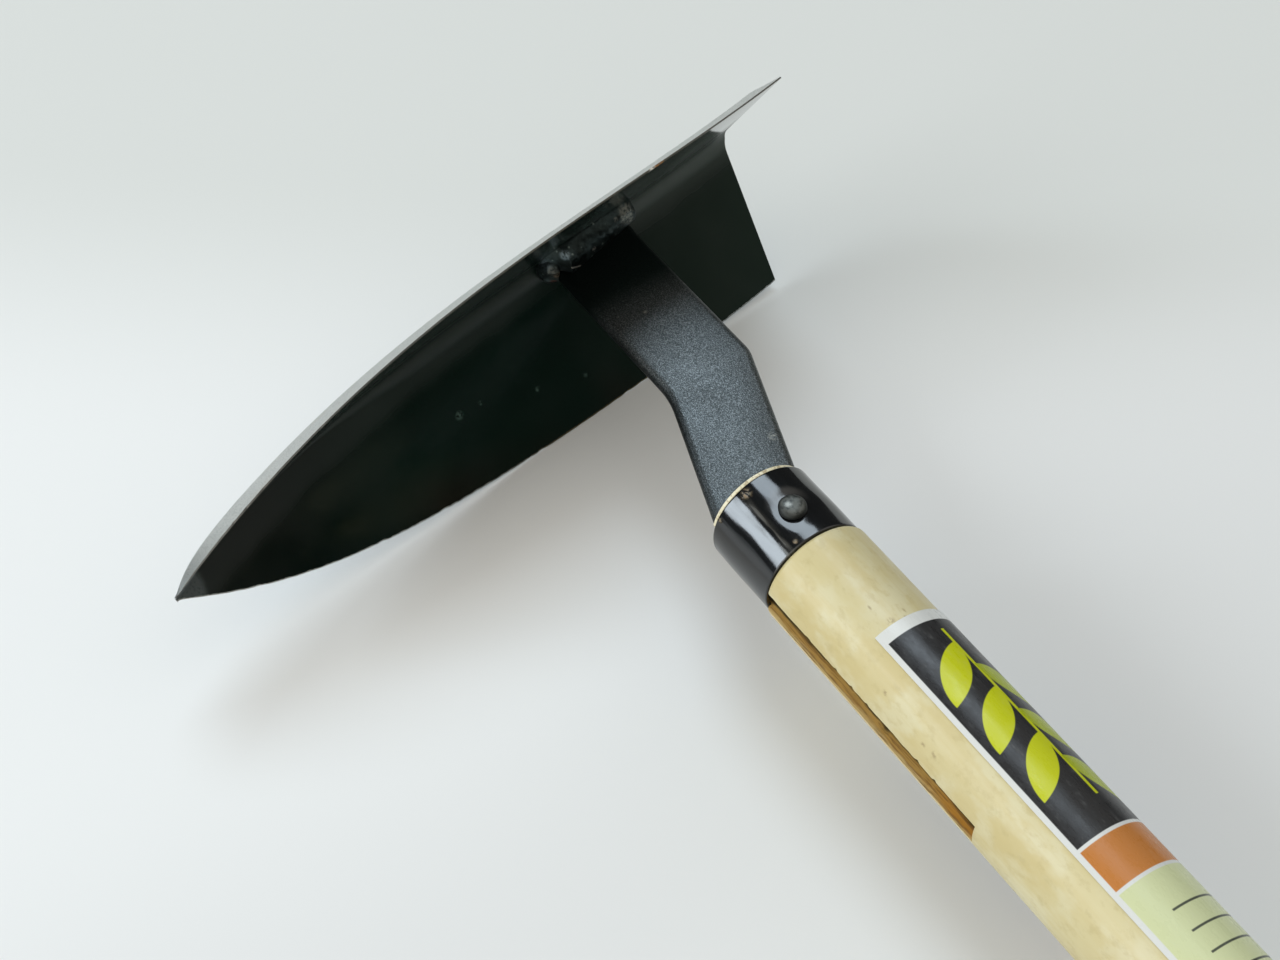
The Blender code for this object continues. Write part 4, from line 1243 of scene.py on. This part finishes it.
def label_rings():
    """A ring for each place round the handle, along the label's face and back along its glued side, and the
    marks that say where on the label each point is."""
    around = np.linspace(0, LABEL_WIDTH, LABEL_COLUMNS + 1)[:, None]
    along = np.linspace(0, LABEL_LENGTH, LABEL_ROWS + 1)
    along = np.concatenate([along, along[::-1]])
    radius = HANDLE_RADIUS + np.repeat([LABEL_FACE_RISE, LABEL_GLUED_RISE], LABEL_ROWS + 1)
    rings = around_handle(LABEL_FROM_RIM + along, LABEL_START_ANGLE + around / HANDLE_RADIUS, radius)
    around, along = np.broadcast_arrays(around, along)
    return rings, {"label_around": around, "label_along": along}


PRINT_WHITE = (0.66, 0.67, 0.65)
PRINT_BLACK = (0.018, 0.018, 0.019)
PRINT_GREEN = (0.52, 0.56, 0.004)
PRINT_GREEN_DARK = (0.34, 0.40, 0.004)
PRINT_ORANGE = (0.50, 0.185, 0.038)
PRINT_PALE = (0.60, 0.64, 0.37)
PRINT_RULE = (0.06, 0.07, 0.05)
PRINT_RUBBED = (0.6, 0.6, 0.58)
PRINT_EDGE = 0.00012
PRINT_SPECULAR = 0.38
PRINT_GLOSS = (0.24, 0.40)
RUBBED_SIZES = (0.004, 0.0015, 0.0015)
WRINKLE_SIZES, WRINKLE_DEPTH = (0.009, 0.0028, 0.0028), 0.00012


def within(value, low, high):
    """1 between two bounds of a printed area."""
    above = fade(value, low - PRINT_EDGE, low + PRINT_EDGE)
    return times(above, fade(value, high + PRINT_EDGE, high - PRINT_EDGE))


def leaf(along, around, start, lean):
    """A pointed leaf that grows from the stem: where two discs overlap."""
    half, thick = LEAF_LENGTH / 2, LEAF_WIDTH / 2
    radius = (half**2 + thick**2) / (2 * thick)
    middle_x, middle_y = start + half * math.cos(lean), STEM_FROM_EDGE + half * math.sin(lean)
    discs = []
    for away in (radius - thick, thick - radius):
        dx = reckon("SUBTRACT", along, middle_x - away * math.sin(lean))
        dy = reckon("SUBTRACT", around, middle_y + away * math.cos(lean))
        distance = reckon("SQRT", reckon("ADD", times(dx, dx), times(dy, dy)))
        discs.append(fade(distance, radius + PRINT_EDGE, radius - PRINT_EDGE))
    return times(*discs)


def printed_paper(place):
    along, around = mark(place, "label_along"), mark(place, "label_around")
    stem_end = FIRST_LEAF + LEAF_SPACING * (LEAF_PAIRS - 1) + LEAF_LENGTH
    stem = within(around, STEM_FROM_EDGE - STEM_HALF_WIDTH, STEM_FROM_EDGE + STEM_HALF_WIDTH)
    stem = times(within(along, STEM_START, stem_end), stem)
    layers = [(within(along, -1.0, BLACK_FIELD_END), PRINT_BLACK), (stem, PRINT_GREEN)]
    for pair in range(LEAF_PAIRS):
        start = FIRST_LEAF + LEAF_SPACING * pair
        layers.append((leaf(along, around, start, -LEAF_LEAN), PRINT_GREEN))
        layers.append((leaf(along, around, start + LEAF_SPACING / 2, LEAF_LEAN), PRINT_GREEN_DARK))
    layers.append((within(along, BLACK_FIELD_END, ORANGE_BAND_END), PRINT_ORANGE))
    for band in (BLACK_FIELD_END, ORANGE_BAND_END):
        layers.append((within(along, band - BAND_LINE_HALF, band + BAND_LINE_HALF), PRINT_WHITE))
    ruled = within(around, RULE_INSET, LABEL_WIDTH - RULE_INSET)
    for rule in range(RULES):
        line = RULE_START + rule * RULE_SPACING
        layers.append((times(within(along, line, line + RULE_THICKNESS), ruled), PRINT_RULE))
    framed = within(around, LABEL_SIDE_BORDER, LABEL_WIDTH - LABEL_SIDE_BORDER)
    framed = times(framed, fade(along, LABEL_TOP_BORDER, LABEL_TOP_BORDER + 2 * PRINT_EDGE))
    rubbed = mottle(place, RUBBED_SIZES, 4.0, 0.65)
    design = (framed, coat(PRINT_PALE, *layers))
    return {
        "Base Color": coat(PRINT_WHITE, design, (fade(rubbed, 0.56, 0.8, 0.0, 0.10), PRINT_RUBBED)),
        "Roughness": fade(rubbed, 0.35, 0.7, *PRINT_GLOSS),
        "Specular IOR Level": PRINT_SPECULAR,
        "Normal": bump(mottle(place, WRINKLE_SIZES, 3.0, 0.6), WRINKLE_DEPTH, 0.45),
    }


rings, label_marks = label_rings()
label = loft("printed_label", rings, "pairs", label_marks)
fit(label, "label", "label_paper", finish(printed_paper))

# The floor. A wide sheet of matt pale paper that takes the hoe's soft shadow. Its colour carries painted
# light: it is a little brighter in a band beside the blade, where the window light falls, and it is darker
# under the windows, painted shade where their light would wash it out.
FLOOR_HALF = 30.0
PAPER_FAR = (0.696, 0.715, 0.700)
PAPER_BRIGHT = (0.834, 0.849, 0.853)
PAPER_NEAR = (0.750, 0.760, 0.762)
PAPER_BY_WINDOWS = (0.44, 0.455, 0.46)
BRIGHT_WAY = (0.775, -0.631, 0.0)
BRIGHTENS = (-0.548, -0.428)
DIMS_ALONG_HANDLE = (-0.545, -0.425)
DIMS_TO_WINDOWS = (-0.18, -0.70)
PAPER_ROUGHNESS, PAPER_SPECULAR = 0.95, 0.2
TOOTH_SIZE, TOOTH_DEPTH = 0.0011, 0.00003


def matt_paper(place):
    x, y, _ = split(place)
    layers = (
        # Painted light and shade: the paper's tone changes across the floor, brighter beside the blade and
        # darker under the windows.
        (fade(vectors("DOT_PRODUCT", place, BRIGHT_WAY), *BRIGHTENS), PAPER_BRIGHT),
        (fade(x, *DIMS_ALONG_HANDLE), PAPER_NEAR),
        (fade(y, *DIMS_TO_WINDOWS), PAPER_BY_WINDOWS),
    )
    return {
        "Base Color": coat(PAPER_FAR, *layers),
        "Roughness": PAPER_ROUGHNESS,
        "Specular IOR Level": PAPER_SPECULAR,
        "Normal": bump(mottle(place, TOOTH_SIZE, 3.0), TOOTH_DEPTH, 0.3),
    }


bpy.ops.mesh.primitive_grid_add(x_subdivisions=8, y_subdivisions=8, size=2 * FLOOR_HALF)
floor = bpy.context.object
floor.name = "paper_floor"
floor.data.materials.append(finish(matt_paper, in_hoe_frame=False))

# The light. Two low windows beside the blade's tip and a soft high lamp from beyond the blade, in a room
# whose pale ceiling and walls give most of the light. The room's far end, past the blade, is dim.
ROOM_DARK = (0.050, 0.050, 0.047)
WALL_TINT = (1.05, 1.0, 0.91)
ROOM_GLOWS = (
    ((0.10, -0.55, 0.75), 0.50, 0.62),
    ((0.10, 0.55, 0.75), 0.62, 0.72),
    ((0.0, -0.90, 0.35), 0.50, 0.66),
    ((0.65, -0.65, 0.35), 0.50, 0.24),
)
DIM_END, LIT_END = -0.44, -0.30
LIGHT_DISTANCE = 2.2
WINDOW_TALL = 26.0
WINDOW_ELEVATION = 26.0
WINDOWS = (
    ("near_window", -32.0, 12.0, 8.5, (0.88, 0.99, 1.08)),
    ("far_window", -4.0, 28.0, 2.6, (0.92, 1.0, 1.05)),
)
LAMP_AZIMUTH, LAMP_ELEVATION = -112.0, 57.0
LAMP_STRENGTH, LAMP_SPREAD = 0.98, 29.0
LAMP_TINT = (0.86, 1.0, 1.12)


def add_light(light, tint, azimuth, elevation):
    """Hangs a light up so that it faces the hoe, out of the camera's sight."""
    light.color = tint
    a, e = math.radians(azimuth), math.radians(elevation)
    towards = Vector((math.sin(a) * math.cos(e), -math.cos(a) * math.cos(e), math.sin(e)))
    facing = towards.to_track_quat("Z", "Y").to_matrix().to_4x4()
    holder = placed(light.name, light)
    holder.matrix_world = Matrix.Translation(lie.translation + towards * LIGHT_DISTANCE) @ facing
    holder.visible_camera = False


def seen_across(degrees):
    """The size of a light that looks so many degrees across from the hoe."""
    return 2 * LIGHT_DISTANCE * math.tan(math.radians(degrees) / 2)


for name, azimuth, across, radiance, tint in WINDOWS:
    window = bpy.data.lights.new(name, "AREA")
    window.shape = "RECTANGLE"
    window.size, window.size_y = seen_across(across), seen_across(WINDOW_TALL)
    window.energy = radiance * math.pi * window.size * window.size_y
    add_light(window, tint, azimuth, WINDOW_ELEVATION)
lamp = bpy.data.lights.new("high_lamp", "SUN")
lamp.energy = LAMP_STRENGTH
lamp.angle = math.radians(LAMP_SPREAD)
add_light(lamp, LAMP_TINT, LAMP_AZIMUTH, LAMP_ELEVATION)
world = bpy.data.worlds.new("dim_room")
world.use_nodes = True
bpy.context.scene.world = world
room = world.node_tree.nodes["Background"]
way = put(room, "ShaderNodeTexCoord").outputs["Generated"]
glow = 0.0
for towards, start, level in ROOM_GLOWS:
    facing = vectors("DOT_PRODUCT", way, Vector(towards).normalized())
    glow = reckon("ADD", glow, fade(facing, start, 1.0, 0.0, level))
glow = times(glow, fade(split(way)[0], DIM_END, LIT_END))
fill(room, {"Color": vectors("ADD", scaled(WALL_TINT, glow), ROOM_DARK)})
bpy.context.scene.view_settings.view_transform = "Standard"

# The camera. It stands where a fit to the handle's sides, the ferrule's rims and the blade's edges puts
# it, and its place, aim and upright are given in the hoe's own frame.
PIXEL_FOCAL_LENGTH = 2000.0
IMAGE_WIDTH = 1280
SENSOR_WIDTH = 36.0
CAMERA_PLACE = Vector((0.22862, -0.17224, 0.36170))
CAMERA_AIM = Vector((-0.02375, -0.01754, 0.0))
CAMERA_UP = Vector((-0.63326, 0.44594, 0.63255))

camera = placed("camera", bpy.data.cameras.new("camera"))
backward = (CAMERA_PLACE - CAMERA_AIM).normalized()
rightward = CAMERA_UP.cross(backward).normalized()
turned = Matrix((rightward, backward.cross(rightward), backward)).transposed().to_4x4()
camera.matrix_world = lie @ (Matrix.Translation(CAMERA_PLACE) @ turned)
camera.data.sensor_width = SENSOR_WIDTH
camera.data.lens = PIXEL_FOCAL_LENGTH * SENSOR_WIDTH / IMAGE_WIDTH
bpy.context.scene.camera = camera
